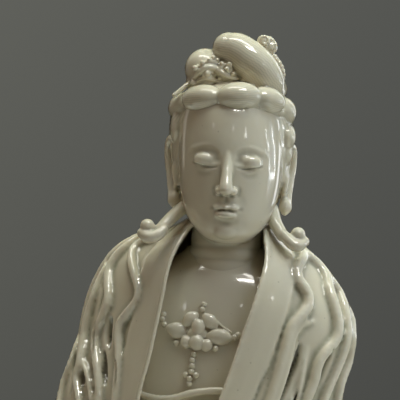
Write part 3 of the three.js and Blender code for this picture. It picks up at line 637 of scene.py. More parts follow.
def makeHead():
    third = (face["hairline"] - face["chin"]) / 3
    brow, noseBase = face["chin"] + 2 * third, face["chin"] + third
    mouth = face["chin"] + third * 2 / 3
    eyes = (face["chin"] + face["crown"]) / 2
    gap = face["eyeWidth"]
    clay = [
        loft([[z, leaned(z), cy, rx, ry] for z, cy, rx, ry in face["rings"]], around=96, steps=56),
        strand([onFace(0, brow + 1, -1.7), onFace(0, brow - 4.5, -0.5), onFace(0, noseBase + 8, 1.9),
                onFace(0, noseBase + 3.4, 3.7)], [1.6, 2.1, 2.4, 2.9]),
        lump(onFace(0, noseBase + 2.5, 4.1), (3.0, 2.7, 2.4)),
        lump(onFace(0, noseBase + 0.9, 2.4), (1.6, 2.2, 1.1)),
        lump(onFace(0, mouth + 1.5, 0.0), (2.0, 1.9, 1.2)),
        lump(onFace(0, mouth - 1.7, 0.1), (4.4, 2.1, 1.5)),
        lump(onFace(0, face["chin"] + 3.8, -2.8), (5.6, 3.8, 3.6)),
    ]
    for side in (-1, 1):
        clay += [
            lump(onFace(side * 3.3, noseBase + 1.9, 1.2), (1.8, 2.7, 1.75)),
            lump(onFace(side * 2.7, mouth + 1.35, -0.45), (3.0, 1.9, 1.15), tip=side * 0.12),
            lump(onFace(side * gap, eyes - 0.4, -2.5), (gap / 2 + 0.7, 3.7, 3.6)),
        ]
    skull = weld(clay)
    bpy.ops.transform.rotate(value=-math.radians(face["turn"]), orient_axis="Z", center_override=(0, 0, 0))
    bpy.ops.object.transform_apply(location=True, rotation=True, scale=True)
    clay = [skull, loft(face["neckRings"], around=80, steps=52)]
    for side in (-1, 1):
        rim, fold = face["earRim"], face["earFold"]
        clay += [
            strand([beside(side, *point) for point in rim[0]], rim[1]),
            lump(beside(side, *face["earLobe"][0]), face["earLobe"][1]),
            lump(beside(side, *face["earBack"][0]), face["earBack"][1]),
            strand([beside(side, *point) for point in fold[0]], fold[1]),
        ]
    head = fuse("head", clay, face["grain"], 7)
    skin = skinOf(head)

    def drawn(points, side=1):
        # a route drawn on the face, which is turned with the head
        turned = math.radians(face["turn"])
        spots = []
        for x, z in points:
            spots.append(((side * x + leaned(z)) * math.cos(turned) - faceFront(x, z) * math.sin(turned), z))
        return layOn(skin, spots)

    marks = [
        # line between the lips, groove over them and hollow under them
        stroke(drawn([(-5.6, mouth + 0.7), (-3, mouth - 0.1), (-1.1, mouth + 0.15), (0, mouth - 0.2),
                      (1.1, mouth + 0.15), (3, mouth - 0.1), (5.6, mouth + 0.7)]),
               0.8, [-0.15, -0.45, -0.45, -0.45, -0.15]),
        stroke(drawn([(0, noseBase - 0.4), (0, mouth + 3.2)]), [1.0, 1.4], [-0.3, -0.4, -0.3]),
        stroke(drawn([(-3.6, mouth - 4.4), (0, mouth - 4.9), (3.6, mouth - 4.4)]), 2.4, [-0.3, -0.7, -0.3]),
    ]
    for side in (-1, 1):
        marks += [
            # corner of the mouth, and the fold from the nose to it
            stroke(drawn([(5.9, mouth + 0.8), (6.2, mouth + 0.7)], side), 1.3, [-0.3]),
            stroke(drawn([(4.8, noseBase + 1), (6.6, noseBase - 2.5), (7.6, mouth + 1.5)], side),
                   2.6, [-0.3, -0.25, 0]),
            # wing of the nose, set off from the cheek, and the nostril
            stroke(drawn([(4.3, noseBase + 4.6), (5.5, noseBase + 2.6), (5.1, noseBase + 0.4)], side),
                   1.2, [0, -0.45, -0.35]),
            stroke(drawn([(1.8, noseBase - 0.2), (2.6, noseBase - 0.1)], side), 0.9, [-0.6]),
            # hollow beside the bridge and over the lid
            stroke(drawn([(4.6, eyes + 0.2), (5.2, eyes + 2.4), (8.4, eyes + 3.9), (13.4, eyes + 3.2)], side),
                   [2.6, 2.6, 2.4, 2.8], [-0.8, -0.75, -0.5, -0.15]),
            # brow
            stroke(drawn([(3.6, brow - 0.6), (6.4, brow + 0.9), (10.4, brow + 1.6), (14.8, brow + 0.6),
                          (17.8, brow - 1.4)], side), [2.0, 2.0, 1.9, 1.6], [0, 0.3, 0.4, 0.35, 0]),
            # lid edge, slit, lower lid with the hollow under it, and fold of the upper lid
            stroke(drawn([(4.7, eyes - 2.3), (6.8, eyes - 2.3), (9.4, eyes - 2.1), (12.2, eyes - 1.6),
                          (14.2, eyes - 0.9)], side), 0.9, [0.1, 0.4, 0.45, 0.4, 0.1]),
            stroke(drawn([(4.5, eyes - 3.0), (6.8, eyes - 3.35), (9.4, eyes - 3.3), (12.2, eyes - 2.8),
                          (14.5, eyes - 1.8)], side), 0.75, [-0.3, -0.7, -0.8, -0.7, -0.3]),
            stroke(drawn([(5.4, eyes - 4.3), (9.2, eyes - 4.7), (13.2, eyes - 3.8)], side),
                   1.1, [0, 0.3, 0.3, 0]),
            stroke(drawn([(5.4, eyes - 6.0), (9.2, eyes - 6.6), (13.2, eyes - 5.6)], side),
                   1.6, [0, -0.2, -0.2, 0]),
            stroke(drawn([(7.2, eyes + 2.3), (9.8, eyes + 2.7), (12.8, eyes + 1.8)], side),
                   0.7, [0, -0.2, -0.2, 0]),
            # hollow shell of the ear
            stroke([beside(side, *point) for point in face["earHollow"]],
                   [1.8, 1.9, 1.2], [-1.0, -1.4, -0.6]),
        ]
    tool(head, marks)
    finishWith(head, "SMOOTH", factor=0.4, iterations=3)
    return finishPiece(head, 12, 1000)


makeHead()

# Hair: combed over the head, a rope of rolls round the brow, and a coiled topknot.
hair = {
    "rings": [[190, 0.7, 11, 14, 11], [198, 0.4, 9, 17.5, 16], [207, 0, 7, 22, 21.5],
              [217, -0.4, 5.5, 25.2, 25.5], [228, -0.8, 5, 26.8, 27], [238, -1.2, 4.5, 26.8, 26.5],
              [245, -1.5, 4, 24.4, 24], [250, -1.5, 4, 19, 19], [255, -1.5, 4, 9, 9]],
    # the rolls of the rope: turn from the front in degrees, half length, half height, height and tip
    "rolls": [(5, 9.4, 6.1, 247.8, -0.1), (-37, 10.2, 5.9, 246.2, -0.09), (40, 9.0, 5.6, 247.4, 0.12),
              (76, 8.6, 6.4, 243.8, 0.3), (-77, 9.4, 6.1, 242.8, -0.3), (118, 10.2, 6.0, 242.2, 0.1),
              (-120, 10.6, 6.0, 241.6, -0.1), (158, 9.6, 6.2, 240.8, 0.05), (-162, 10.2, 6.2, 240.6, 0)],
    "rollDepth": 6.6,
    "fullness": 2.7,
    "browCentre": (-1.4, 3),
    "rollReach": (21.4, 25.8),
    "bandReach": (21.6, 25.2),
    "band": 3.5,
    "bandHeight": 245.5,
    "bandDrop": 1.8,
    "coil": [(-5, -8, 268.9), (-1.6, -9.2, 268.1), (3, -10, 265.2), (7.3, -10.2, 261.8), (10.7, -9, 258.2),
             (13.4, -4.5, 254.6), (14.2, 3, 253.2), (9, 11.5, 254.2), (-2, 14.5, 256), (-12, 8, 258.5)],
    "coilRadii": [6.8, 7.6, 8.2, 8.2, 7.9, 7.2, 7.0, 7.1, 7.3, 7.5],
    # lumps under the coil and at the temples, as centre and size
    "knot": [((-14.3, -4, 259.7), (8.7, 9.8, 8.9)), ((-13.6, -3, 254.6), (8.6, 9, 8)),
             ((-5, -6, 258.6), (7.5, 8, 6.5)), ((0, 3, 256.5), (12, 12, 10))],
    "temples": [((-24.4, -3.4, 235), (3.2, 7.5, 8.0)), ((22.4, -3.6, 233.2), (4.1, 7.5, 6.0)),
                ((22.4, -2.6, 226.5), (3.3, 6.0, 6.0))],
    "combed": {
        "places": [(20, 0, 243, 4), (24, 0, 232, 0), (23.5, 0, 220, 0), (19, 0, 208, 0), (12, 0, 196, 0)],
        "wide": 1.1,
        "high": [-0.25, -0.5, -0.5, -0.4],
    },
    "combLines": 44,
    "grain": 0.52,
}


def roundBrow(angle, reach):
    x, y = hair["browCentre"]
    return (x + math.sin(angle) * reach[0], y - math.cos(angle) * reach[1])


def makeHair():
    clay = [loft(hair["rings"], around=96, steps=48)]
    for turn, long, high, z, tip in hair["rolls"]:
        angle = math.radians(turn)
        clay.append(lump((*roundBrow(angle, hair["rollReach"]), z), (long, hair["rollDepth"], high), tip=tip,
                         spin=angle, around=48, down=32, full=hair["fullness"]))
    clay.append(strand([(*roundBrow(t, hair["bandReach"]), hair["bandHeight"] - hair["bandDrop"] * abs(t))
                        for t in np.radians(np.linspace(-150, 150, 21))], [hair["band"]], steps=6))
    clay.append(strand(hair["coil"], hair["coilRadii"], steps=14))
    clay += [lump(centre, size, around=48, down=32) for centre, size in hair["knot"]]
    clay += [lump(centre, size) for centre, size in hair["temples"]]
    piece = fuse("hair", clay, hair["grain"], 5)

    # comb marks down the back and sides, gathered at the nape
    tool(piece, fan(skinOf(piece), hair["combed"], [k / 9 for k in range(-9, 10)]))
    guides = [(smoothRoute([at(*point) for point in hair["coil"]], 60), hair["coilRadii"])]
    for turn, long, high, z, tip in hair["rolls"]:
        angle = math.radians(turn)
        middle = at(*roundBrow(angle, hair["rollReach"]), z)
        half = Vector((math.cos(angle), math.sin(angle), -tip)).normalized() * long / 1000
        guides.append((np.linspace(middle - half, middle + half, 12), [high]))
    comb(piece, guides, hair["combLines"])
    return finishPiece(piece, 12, 800)


hairPiece = makeHair()

# Ornaments in the topknot: a scroll with pearls, and a pin with a flower head and a string of beads.
ornaments = {
    "scrolls": [
        ([(-19.6, 253.6), (-17.9, 256.2), (-15.4, 258.6), (-12.3, 259.8), (-9.1, 259.0), (-6.5, 257.4),
          (-2.9, 256.2), (0.6, 256.1)], [0.8, 1.2, 1.4, 1.5, 1.4, 1.3, 1.0, 0.7]),
        ([(-5.5, 257.2), (-7.6, 258.6), (-7.0, 260.6), (-4.9, 261.0), (-3.5, 259.6), (-4.6, 258.4)],
         [0.8, 1.1, 1.1, 1.0, 0.9, 0.8]),
        ([(-17.4, 253.4), (-15.2, 255.0), (-12.4, 255.2), (-9.4, 254.6), (-6.6, 253.6)],
         [0.8, 1.1, 1.2, 1.1, 0.8]),
        ([(-16.4, 259.8), (-14.6, 261.6), (-12.0, 262.4), (-9.6, 261.6), (-7.6, 260.6)],
         [0.7, 0.9, 1.1, 1.0, 0.7]),
        ([(-11.4, 257.6), (-13.4, 258.2), (-14.8, 256.8), (-13.6, 255.6), (-12.0, 256.2)],
         [0.6, 0.9, 0.9, 0.8, 0.6]),
    ],
    "pearls": [(-18.6, 259.0, 1.3), (-13.1, 256.9, 1.4), (-4.3, 261.4, 1.3), (-5.2, 259.5, 1.0),
               (-11.2, 264.1, 1.0), (-9.4, 263.2, 1.0), (-7.5, 261.7, 1.0), (-18.9, 253.0, 1.3),
               (1.9, 255.6, 1.2), (-15.8, 261.6, 0.9), (-2.4, 257.6, 0.9), (-12.9, 263.0, 0.8)],
    "pearlRise": 1.5,
    "grains": 26,
    "grainsFrom": (-18, 253.5),
    "grainsTo": (-3, 261),
    "grainSize": (0.6, 1.1),
    "beads": [(13.4, -8.2, 267.6, 1.2), (14.5, -8.6, 266.6, 1.4), (15.5, -8.8, 265.3, 1.4),
              (16.6, -8.8, 263.9, 1.5), (17.6, -8.6, 262.4, 1.4), (18.3, -8.4, 260.8, 1.4),
              (18.8, -8.2, 259.2, 1.2), (18.9, -8.0, 257.6, 1.0)],
    "flower": [((11.2, -6.2, 271.6), (4.0, 3.3, 4.0)), ((9.6, -6.4, 272.9), (2.9, 3.2, 2.9)),
               ((12.8, -6.6, 270.6), (3.1, 3.3, 3.2)), ((12.8, -8.6, 270.8), (1.2, 1.2, 1.2)),
               ((9.4, -8.4, 273.2), (1.0, 1.0, 1.0))],
    "curls": [[(7.4, 271.4), (8.2, 274.2), (10.6, 274.8), (11.8, 273.2), (10.8, 271.6), (9.4, 271.8)],
              [(11.8, 274.2), (14.2, 273.0), (15.0, 270.6), (13.6, 268.4), (11.4, 268.8), (11.0, 270.6)],
              [(8.4, 270.2), (9.8, 269.0), (11.4, 268.2)]],
    "tail": ([(-17, -6, 256.2), (-21.9, -9, 251.7), (-26.5, -11, 247.2)], [1.1, 1.1, 1.0]),
    "grain": 0.3,
}


def makeOrnaments():
    skin = skinOf(hairPiece)
    clay = [strand(layOn(skin, smoothRoute(route, 12), 0.5), radii, steps=3)
            for route, radii in ornaments["scrolls"]]
    for x, z, radius in ornaments["pearls"]:
        clay.append(lump(layOn(skin, [(x, z)], ornaments["pearlRise"])[0], [radius] * 3, around=20, down=14))
    shake = np.random.default_rng(7)
    low, high = ornaments["grainsFrom"], ornaments["grainsTo"]
    for _ in range(ornaments["grains"]):
        x, z = shake.uniform(low[0], high[0]), shake.uniform(low[1], high[1])
        clay.append(lump(layOn(skin, [(x, z)], 0.1)[0], shake.uniform(*ornaments["grainSize"], 3),
                         around=12, down=8))
    clay.append(strand(*ornaments["tail"], steps=8))
    clay += [lump((x, y, z), [radius] * 3, around=20, down=14) for x, y, z, radius in ornaments["beads"]]
    flower = weld([lump(centre, size, around=40, down=28) for centre, size in ornaments["flower"]])
    skin = skinOf(flower)
    clay += [strand(layOn(skin, smoothRoute(route, 14), 0.1), [0.45, 0.6, 0.6, 0.45], steps=3)
             for route in ornaments["curls"]] + [flower]
    piece = fuse("hairOrnaments", clay, ornaments["grain"], 1)
    return finishPiece(piece, 8, 1100)


makeOrnaments()

# Chest under the open robe, and the undergarment's edge across it.
chest = {
    "rings": [[100, -5, 0, 40, 26], [125, -4, 0, 42, 27], [145, -3, 1, 42, 26.5], [162, -1.8, 2, 39, 24],
              [172, -1, 2.5, 31, 20.5], [179, -0.5, 3, 22, 16], [186, 0, 3, 14.5, 12]],
    "edge": [(-36, 122), (-29.5, 120.6), (-23.3, 120.2), (-17, 121.5), (-12.5, 123.4), (-6, 125.2),
             (1, 126), (10, 125)],
    "edgeRadius": 1.7,
    "clothRings": [[74, -5, -1, 42, 31], [96, -5, -1, 42, 29.4], [117, -4.5, -1, 42, 28.6]],
    "grain": 0.9,
}


def makeChest():
    piece = fuse("chest", [loft(chest["rings"], around=96, steps=36, turn=bodyTurn)], chest["grain"], 3)
    return finishPiece(piece, 10, 600)


chestPiece = makeChest()
chestSkin = skinOf(chestPiece)


def makeUndergarment():
    cloth = loft(chest["clothRings"], around=96, steps=24, turn=bodyTurn)
    edge = strand(layOn(chestSkin, chest["edge"], 1.0), [chest["edgeRadius"]], steps=10)
    piece = fuse("undergarment", [cloth, edge], chest["grain"], 3)
    return finishPiece(piece, 10, 700)


makeUndergarment()

# Robe: wide over the shoulders and open in front, with broad lapels, falling locks and drawn folds.
robe = {
    "rings": [[20, 0, 3, 74, 49], [50, -1, 2, 68, 46], [70, -3, 1, 67, 43], [85, -6, 1, 68, 39],
              [100, -8.5, 1, 65.5, 36], [116, -7.4, 1, 62.4, 34], [128, -5.5, 1, 60.2, 32.5],
              [140, -2.6, 1.5, 58.2, 31.5], [150, -1.4, 2, 58, 30.5], [160, -1.6, 2.5, 55.6, 29.5],
              [170, -2.8, 3, 50.4, 28], [178, -3.8, 3.5, 44.6, 25.5], [184, -3.4, 4, 37.4, 22.5],
              [190, -1, 4, 26.5, 19.5], [196, 0.5, 4, 18.5, 17]],
    "rightInner": [(-13, 196.5), (-19, 187.5), (-22.5, 180.1), (-24.4, 172.1), (-25.7, 161.8),
                   (-27.4, 150), (-29.3, 137), (-32.3, 121), (-31, 102), (-27, 82)],
    "rightOuter": [(-17, 197), (-25, 189), (-31.6, 181.9), (-35, 175), (-34.2, 166), (-35.4, 158),
                   (-38.3, 149.5), (-39.7, 137), (-40.2, 122), (-43, 100), (-42, 80)],
    "leftInner": [(15, 197.5), (16, 189.3), (16.5, 180.3), (13.6, 166.3), (9.4, 151), (5.6, 137),
                  (0.4, 120), (-7, 101), (-16, 82)],
    "leftOuter": [(19.5, 198.5), (27, 187.6), (29.2, 180.4), (28.5, 171.6), (27, 162.4), (24.6, 154.8),
                  (20.7, 141), (15.4, 127.4), (9, 106), (2, 80)],
    "thickness": [4.2, 3.9, 3.4, 2.6, 1.8],
    "lapelDepth": 9,
    "openingFront": -80,
    "openingDepth": 84,
    "wellRings": [[160, 0, 2, 15, 12], [172, 0, 2, 20, 15.5], [184, 0, 3, 22, 17.5],
                  [190, 0.2, 3.6, 20.8, 17], [197, 0.5, 4, 16.6, 15.6], [202, 0.5, 4, 16.6, 15.6]],
    "rim": 1.15,
    "rimSunk": 0.9,
    "bead": 0.95,
    "beadRise": 0.15,
    "beadGrain": 0.4,
    "lockRise": 1.2,
    "backFolds": {
        "places": [(26, -1, 176, 9), (36, -2, 150, 0), (45, -3, 120, 0), (52, -4, 88, 0), (56, -2, 60, 0)],
        "wide": [3.0, 4.5, 5.5, 6.0],
        "high": [0, 1.0, 1.9, 2.2, 1.4],
    },
    "backHollows": {
        "places": [(30, -1, 160, 8), (38, -2, 140, 0), (46, -3, 112, 0), (54, -3, 84, 0), (57, -2, 56, 0)],
        "wide": [2.0, 3.0, 4.0, 4.5],
        "high": [0, -0.8, -1.6, -2.0, -1.4],
    },
    "grain": 0.84,
    "plainBehind": -2,
    "kept": 0.61,
}


def slab(inner, outer, across, settle, depth):
    # a grid between two routes in front view, with each corner settled in place, then extruded backwards
    startFresh()
    along = 44
    bpy.ops.mesh.primitive_grid_add(x_subdivisions=across, y_subdivisions=along, size=2, location=(0, 0, 0))
    cloth = bpy.context.object
    innerRoute, outerRoute = smoothRoute(inner, along + 1), smoothRoute(outer, along + 1)
    for corner in cloth.data.vertices:
        u, v = (corner.co.x + 1) / 2, (1 - corner.co.y) / 2
        row = min(along, round(v * along))
        x, z = innerRoute[row] * (1 - u) + outerRoute[row] * u
        corner.co = at(*settle(x, z, u))
    bpy.ops.object.mode_set(mode="EDIT")
    bpy.ops.mesh.select_all(action="SELECT")
    bpy.ops.mesh.extrude_region_move(TRANSFORM_OT_translate={"value": (0, depth / 1000, 0)})
    bpy.ops.mesh.select_all(action="SELECT")
    bpy.ops.mesh.normals_make_consistent(inside=False)
    bpy.ops.object.mode_set(mode="OBJECT")
    return cloth


# locks that fall over the shoulders, as routes in front view with their radii
falling = {
    "a": ([(-30, 185.6), (-33.3, 184.4), (-37, 182.7), (-39.3, 179), (-39, 174.6), (-37.7, 171),
          (-36, 167), (-35.1, 163.2), (-36, 159.2), (-40.1, 153.1), (-42.2, 149.2), (-42.5, 144),
          (-41.7, 138), (-41.4, 127.5), (-41.6, 118), (-43, 104)], [1.8, 1.9, 1.9, 1.9, 1.8, 1.8, 1.5]),
    "b": ([(-34, 186), (-38, 184.2), (-42.3, 180.8), (-46.6, 175.8), (-48.8, 169.8), (-48.4, 163),
          (-47.9, 157.6), (-50.2, 150.2), (-52.1, 144), (-51.8, 137), (-50.2, 129.6), (-48.6, 119),
          (-49.6, 104)], [1.8, 2.1, 2.1, 2.1, 2.0, 1.8, 1.4]),
    "c": ([(-34.5, 187), (-39.4, 184.8), (-43.8, 181.5), (-49.3, 175.4), (-53.2, 168.6), (-55.6, 161.4),
          (-57.2, 155), (-58.4, 149), (-59, 143), (-60.4, 137), (-62.6, 129), (-65.4, 119), (-66, 104)],
          [1.9, 2.1, 2.2, 2.0, 1.8, 1.5, 1.4, 1.3]),
    "cInner": ([(-50.4, 172), (-52.8, 166), (-54.4, 159.5), (-55.9, 153), (-56.8, 146), (-57.1, 139.7),
               (-57.4, 134.3), (-57.9, 129.6), (-59.2, 125), (-58.5, 120.8), (-56.8, 114), (-56, 100)],
               [1.2, 1.8, 2.3, 2.6, 2.4, 1.7, 1.6, 1.5]),
    "cLoop": ([(-57, 131.4), (-55, 128), (-53.6, 124.4), (-52.7, 121.2), (-51.4, 115), (-51, 104)],
              [1.3, 1.3, 1.3, 1.2]),
    "d": ([(28, 186.4), (31.6, 184.6), (31.9, 181.4), (30.2, 178.5), (29.7, 175.2), (31, 172.2),
          (34.2, 168), (35, 163.8), (33.1, 160.2), (28.6, 154.2), (27, 148), (25.6, 140.8), (22.4, 128),
          (17, 110), (12, 96)], [2.1, 2.3, 2.3, 2.3, 2.3, 2.0, 1.5]),
    "dInner": ([(37, 157), (33.3, 155.3), (30.1, 150.9), (28.9, 144.6), (27.4, 137), (25.4, 128.7),
               (21, 115)], [0.5, 1.2, 1.5, 1.4, 1.2]),
    "e": ([(30, 184.4), (35.1, 181.8), (39.6, 178.2), (42.6, 173.6), (43.6, 169), (45.4, 164.4),
          (47.4, 158), (47.7, 152), (45.8, 147.9), (42.4, 144), (40.2, 139), (39, 132), (36.6, 124.6),
          (32.4, 110), (29, 98)], [2.1, 2.3, 2.4, 2.3, 2.2, 2.0, 1.6]),
    "f": ([(32, 186.4), (37, 183), (42, 179.6), (45.3, 175.8), (46.5, 171.2), (49, 165.8), (51.2, 159),
          (52, 151.6), (50.8, 144.6), (47.6, 135.3), (44.6, 127), (41, 114)],
          [2.0, 2.2, 2.2, 2.1, 2.0, 1.7]),
    "g": ([(47.4, 171), (49.8, 168.4), (52.4, 163), (53.8, 157), (54.2, 149), (53.4, 140.4), (50.8, 132),
          (49.6, 124), (48, 108)], [1.3, 1.8, 2.0, 2.0, 1.9, 1.5]),
}
# folds of the cloth between the locks, as routes with radii
frontFolds = [
    ([(25.8, 133), (24.4, 127), (21, 117)], [0.3, 0.9, 0.9]),
    ([(35.6, 146.4), (34.6, 138), (33.1, 128.6), (29, 116)], [0.3, 1.2, 1.4, 1.2]),
    ([(23, 144), (19, 130), (13.5, 112)], [0.3, 1.4, 1.4]),
]
# dark slots between the locks, as routes with half widths and depth; the deepest get painted shade as well
slots = [
    ([(-46.8, 151), (-47.4, 145.3), (-46.8, 138.6)], [1.4, 2.1, 1.5], -4.5),
    ([(-48.6, 137), (-47.8, 130.8), (-46.8, 123.8)], [0.9, 1.5, 1.1], -3.4),
    ([(-57.1, 127.8), (-56.8, 122)], [1.3, 1.3], -2.4),
    ([(-51.6, 167), (-51.9, 160), (-52.9, 153)], [1.0, 1.4, 1.0], -1.6),
    ([(-53.8, 148), (-54.3, 141.4), (-53.6, 135.4)], [0.9, 1.3, 0.9], -1.6),
    ([(-43.9, 136), (-43.2, 129), (-42.8, 122)], [0.8, 1.1, 0.9], -1.6),
    ([(-62, 136), (-61.8, 128), (-62.4, 117)], [1.0, 1.5, 1.3], -1.6),
    ([(32.5, 147.2), (31.6, 141), (29.4, 134), (26.3, 124)], [0.9, 1.6, 1.5, 0.9], -5.0),
    ([(32.4, 128.4), (31.5, 122.6)], [1.2, 1.1], -4.2),
    ([(47, 146.4), (44.6, 140), (41.8, 131)], [0.9, 1.5, 1.0], -2.4),
]


def makeRobe():
    shell = loft(robe["rings"], around=120, steps=64, turn=bodyTurn)
    skin = skinOf(shell)

    def onShell(x, z, u):
        return layOn(skin, [(x, z)], readList(robe["thickness"], u))[0]

    def inFront(x, z, u):
        return (x, robe["openingFront"], z)

    lapels = [slab(robe[side + "Inner"], robe[side + "Outer"], 8, onShell, robe["lapelDepth"])
              for side in ("right", "left")]
    # the opening between the lapels and the well round the neck
    opening = slab(robe["rightInner"], robe["leftInner"], 4, inFront, robe["openingDepth"])
    well = loft(robe["wellRings"], around=72, steps=30)
    for cutter in (opening, well):
        finishWith(shell, "BOOLEAN", object=cutter, operation="DIFFERENCE", solver="EXACT")
    startFresh()
    for cutter in (opening, well):
        cutter.select_set(True)
    bpy.ops.object.delete()

    rims = [strand(layOn(skin, inner, robe["thickness"][0] - robe["rimSunk"]), [robe["rim"]], steps=10)
            for inner in (robe["rightInner"], robe["leftInner"])]
    beadRoute = layOn(skin, smoothRoute(robe["rightInner"], 30), robe["thickness"][0] + robe["beadRise"])
    cloth = weld([shell, *lapels])
    skin = skinOf(cloth)
    clay = [cloth, *rims]
    for route, radii in falling.values():
        lock = layOn(skin, smoothRoute(route, 2 * len(route)), robe["lockRise"], square=True)
        clay.append(strand(lock, radii, steps=5))
    for route, radii in frontFolds:
        clay.append(strand(layOn(skin, smoothRoute(route, 8), 0.2), radii, steps=4))
    piece = fuse("robe", clay, robe["grain"], 3)

    skin = skinOf(piece)
    marks = [stroke(layOn(skin, smoothRoute(route, 8)), wide, [0.3 * deep, deep, deep, 0.2 * deep])
             for route, wide, deep in slots]
    # folds that fan out from the shoulders down the back, with hollows between them
    marks += fan(skin, robe["backFolds"], [k / 4 for k in range(-4, 5)], 10)
    marks += fan(skin, robe["backHollows"], [(k + 0.5) / 4 for k in range(-4, 4)], 10)
    tool(piece, marks)
    finishWith(piece, "SMOOTH", factor=0.5, iterations=2)

    # the back and the underside, which are plainer, need fewer faces
    plainer = piece.vertex_groups.new(name="plainer")
    behind = [corner.index for corner in piece.data.vertices if corner.co.y > robe["plainBehind"] / 1000]
    plainer.add(behind, 1, "REPLACE")
    finishWith(piece, "DECIMATE", ratio=robe["kept"], vertex_group="plainer")
    bead = fuse("lapelBead", [strand(beadRoute, [robe["bead"]], steps=6)], robe["beadGrain"], 2)
    finishPiece(bead, 4, 500)
    finishPiece(piece, 12, 850)


makeRobe()

# Tied locks: each comes forward from the nape and is knotted on the shoulder.
ties = {
    "strands": [
        ([(-15, 6, 205), (-19, -6, 200.6), (-24.4, -13, 195.2), (-28, -17.4, 190.8)], [3.0, 2.9, 2.8, 2.6]),
        ([(15, 6, 206), (18, -6, 202), (19.8, -13, 196.3), (22.8, -17.2, 191.4)], [3.1, 3.1, 3.0, 2.7]),
    ],
    "knots": [
        ([(-27, -18.8, 190.4), (-29.6, -20.2, 187.8), (-33, -20.4, 186.9), (-35.8, -18.2, 188.4)],
         [2.3, 2.6, 2.7, 2.2]),
        ([(23.4, -18.2, 191.6), (25.8, -19.6, 189.2), (29, -20.4, 187.6), (32.2, -18, 189.4)],
         [2.3, 2.6, 2.7, 2.2]),
    ],
    "buds": [(-33.8, -17.8, 191.4), (29.3, -17.8, 192.3)],
    "bud": 3.1,
    "grain": 0.46,
}


def makeTies():
    clay = [strand(route, radii, steps=12) for route, radii in ties["strands"] + ties["knots"]]
    clay += [lump(spot, [ties["bud"]] * 3) for spot in ties["buds"]]
    piece = fuse("tiedLocks", clay, ties["grain"], 2)
    return finishPiece(piece, 10, 800)


makeTies()

# Necklace: a lotus between two leaves, hung on strings of pearls.
necklace = {
    # each petal: x, z, half width, half height, tip, rise and how pointed, from 0 to 1
    "petals": [(-18.3, 148.9, 5.3, 3.5, 0.25, 0.3, 0.8), (-0.7, 147.8, 5.8, 3.5, 0.05, 0.3, 0.8),
               (-13, 154.2, 4.1, 3.0, -0.79, 0.5, 0.5), (-5, 153.9, 4.2, 3.0, 0.72, 0.5, 0.5),
               (-14.2, 144.7, 2.6, 2.8, -0.3, 0.5, 0.2), (-5.7, 144, 2.6, 2.8, 0.3, 0.5, 0.2),
               (-9.7, 148.4, 4.4, 3.0, 0, 0, 0), (-9.7, 151.3, 2.9, 3.5, 0, 1.5, 0.4),
               (-9.9, 144.9, 3.2, 3.3, 0, 1.3, 0.2)],
    "thick": 2.2,
    "grain": 0.3,
    "pearls": [(-8.4, 158.5), (-8, 160.6), (-23.9, 150.9), (-24.9, 153), (-24.5, 155), (5.7, 148.2),
               (6.9, 149.3), (-10.8, 140), (-11.2, 137.6), (-11.1, 135.2), (-11.2, 132.8), (-13.6, 131.4),
               (-9.3, 131.5), (-11.8, 129.9), (-11.8, 127.7), (-18.3, 143.8), (-1.8, 143.1)],
    "pearl": 1.3,
    "wire": 0.55,
    "cord": [(-7.3, 156.8), (-3, 154.9), (0.3, 152.2), (4, 150.1)],
}


def petal(centre, size, tip, pointed):
    # a ball whose long ends are drawn out to a point, pressed flat and laid on the chest
    startFresh()
    bpy.ops.mesh.primitive_uv_sphere_add(segments=28, ring_count=18, radius=1, location=(0, 0, 0))
    leaf = bpy.context.object
    for corner in leaf.data.vertices:
        corner.co.z *= 1 - 0.5 * pointed * corner.co.x ** 2
        corner.co.y *= 1 - 0.3 * pointed * corner.co.x ** 2
    leaf.scale = [side / 1000 for side in size]
    leaf.rotation_euler = (0, tip, bodyTurn * 0.6)
    leaf.location = at(*centre)
    bpy.ops.object.transform_apply(location=True, rotation=True, scale=True)
    return leaf


def makeNecklace():
    clay = [strand(layOn(chestSkin, necklace["cord"], 0.1), [necklace["wire"]], steps=8)]
    for x, z, wide, tall, tip, rise, pointed in necklace["petals"]:
        centre = layOn(chestSkin, [(x, z)], rise)[0]
        clay.append(petal(centre, (wide, necklace["thick"], tall), tip, pointed))
    flower = fuse("lotusPendant", clay, necklace["grain"], 1)
    finishPiece(flower, 8, 1100)
    beads = []
    for spot in necklace["pearls"]:
        centre = layOn(chestSkin, [spot], 0.5)[0]
        beads.append(lump(centre, [necklace["pearl"]] * 3, around=16, down=12))
    string = weld(beads)
    string.name = string.data.name = "pearlStrings"
    return finishPiece(string, 2, 100)


makeNecklace()

# Sleeves: wide, meeting in front over the hidden hands.
sleeves = {
    "right": ([(-58, 3, 90), (-56, -20, 83), (-36, -40, 73), (-10, -52, 67), (10, -54, 65)],
              [13, 17, 16, 14, 12]),
    "left": ([(48, 0, 98), (46, -20, 85), (30, -40, 73), (8, -52, 68), (-6, -56, 66)],
             [15, 17, 16, 13, 12]),
    "tall": 0.4,
    "folds": [([(-60, 96), (-52, 80), (-36, 66), (-14, 56)], [1.5, 2.6, 2.6, 1.6]),
              ([(-54, 104), (-44, 90), (-28, 78), (-8, 70)], [1.5, 2.4, 2.4, 1.6]),
              ([(50, 96), (44, 78), (31, 64), (14, 55)], [1.5, 2.6, 2.6, 1.6]),
              ([(43, 104), (36, 90), (26, 79), (13, 72)], [1.5, 2.4, 2.4, 1.6]),
              ([(4, 86), (8, 77), (8.5, 66), (6, 56), (1, 48)], [1.6, 2.6, 2.6, 2.6, 1.6])],
    "grain": 1.0,
}


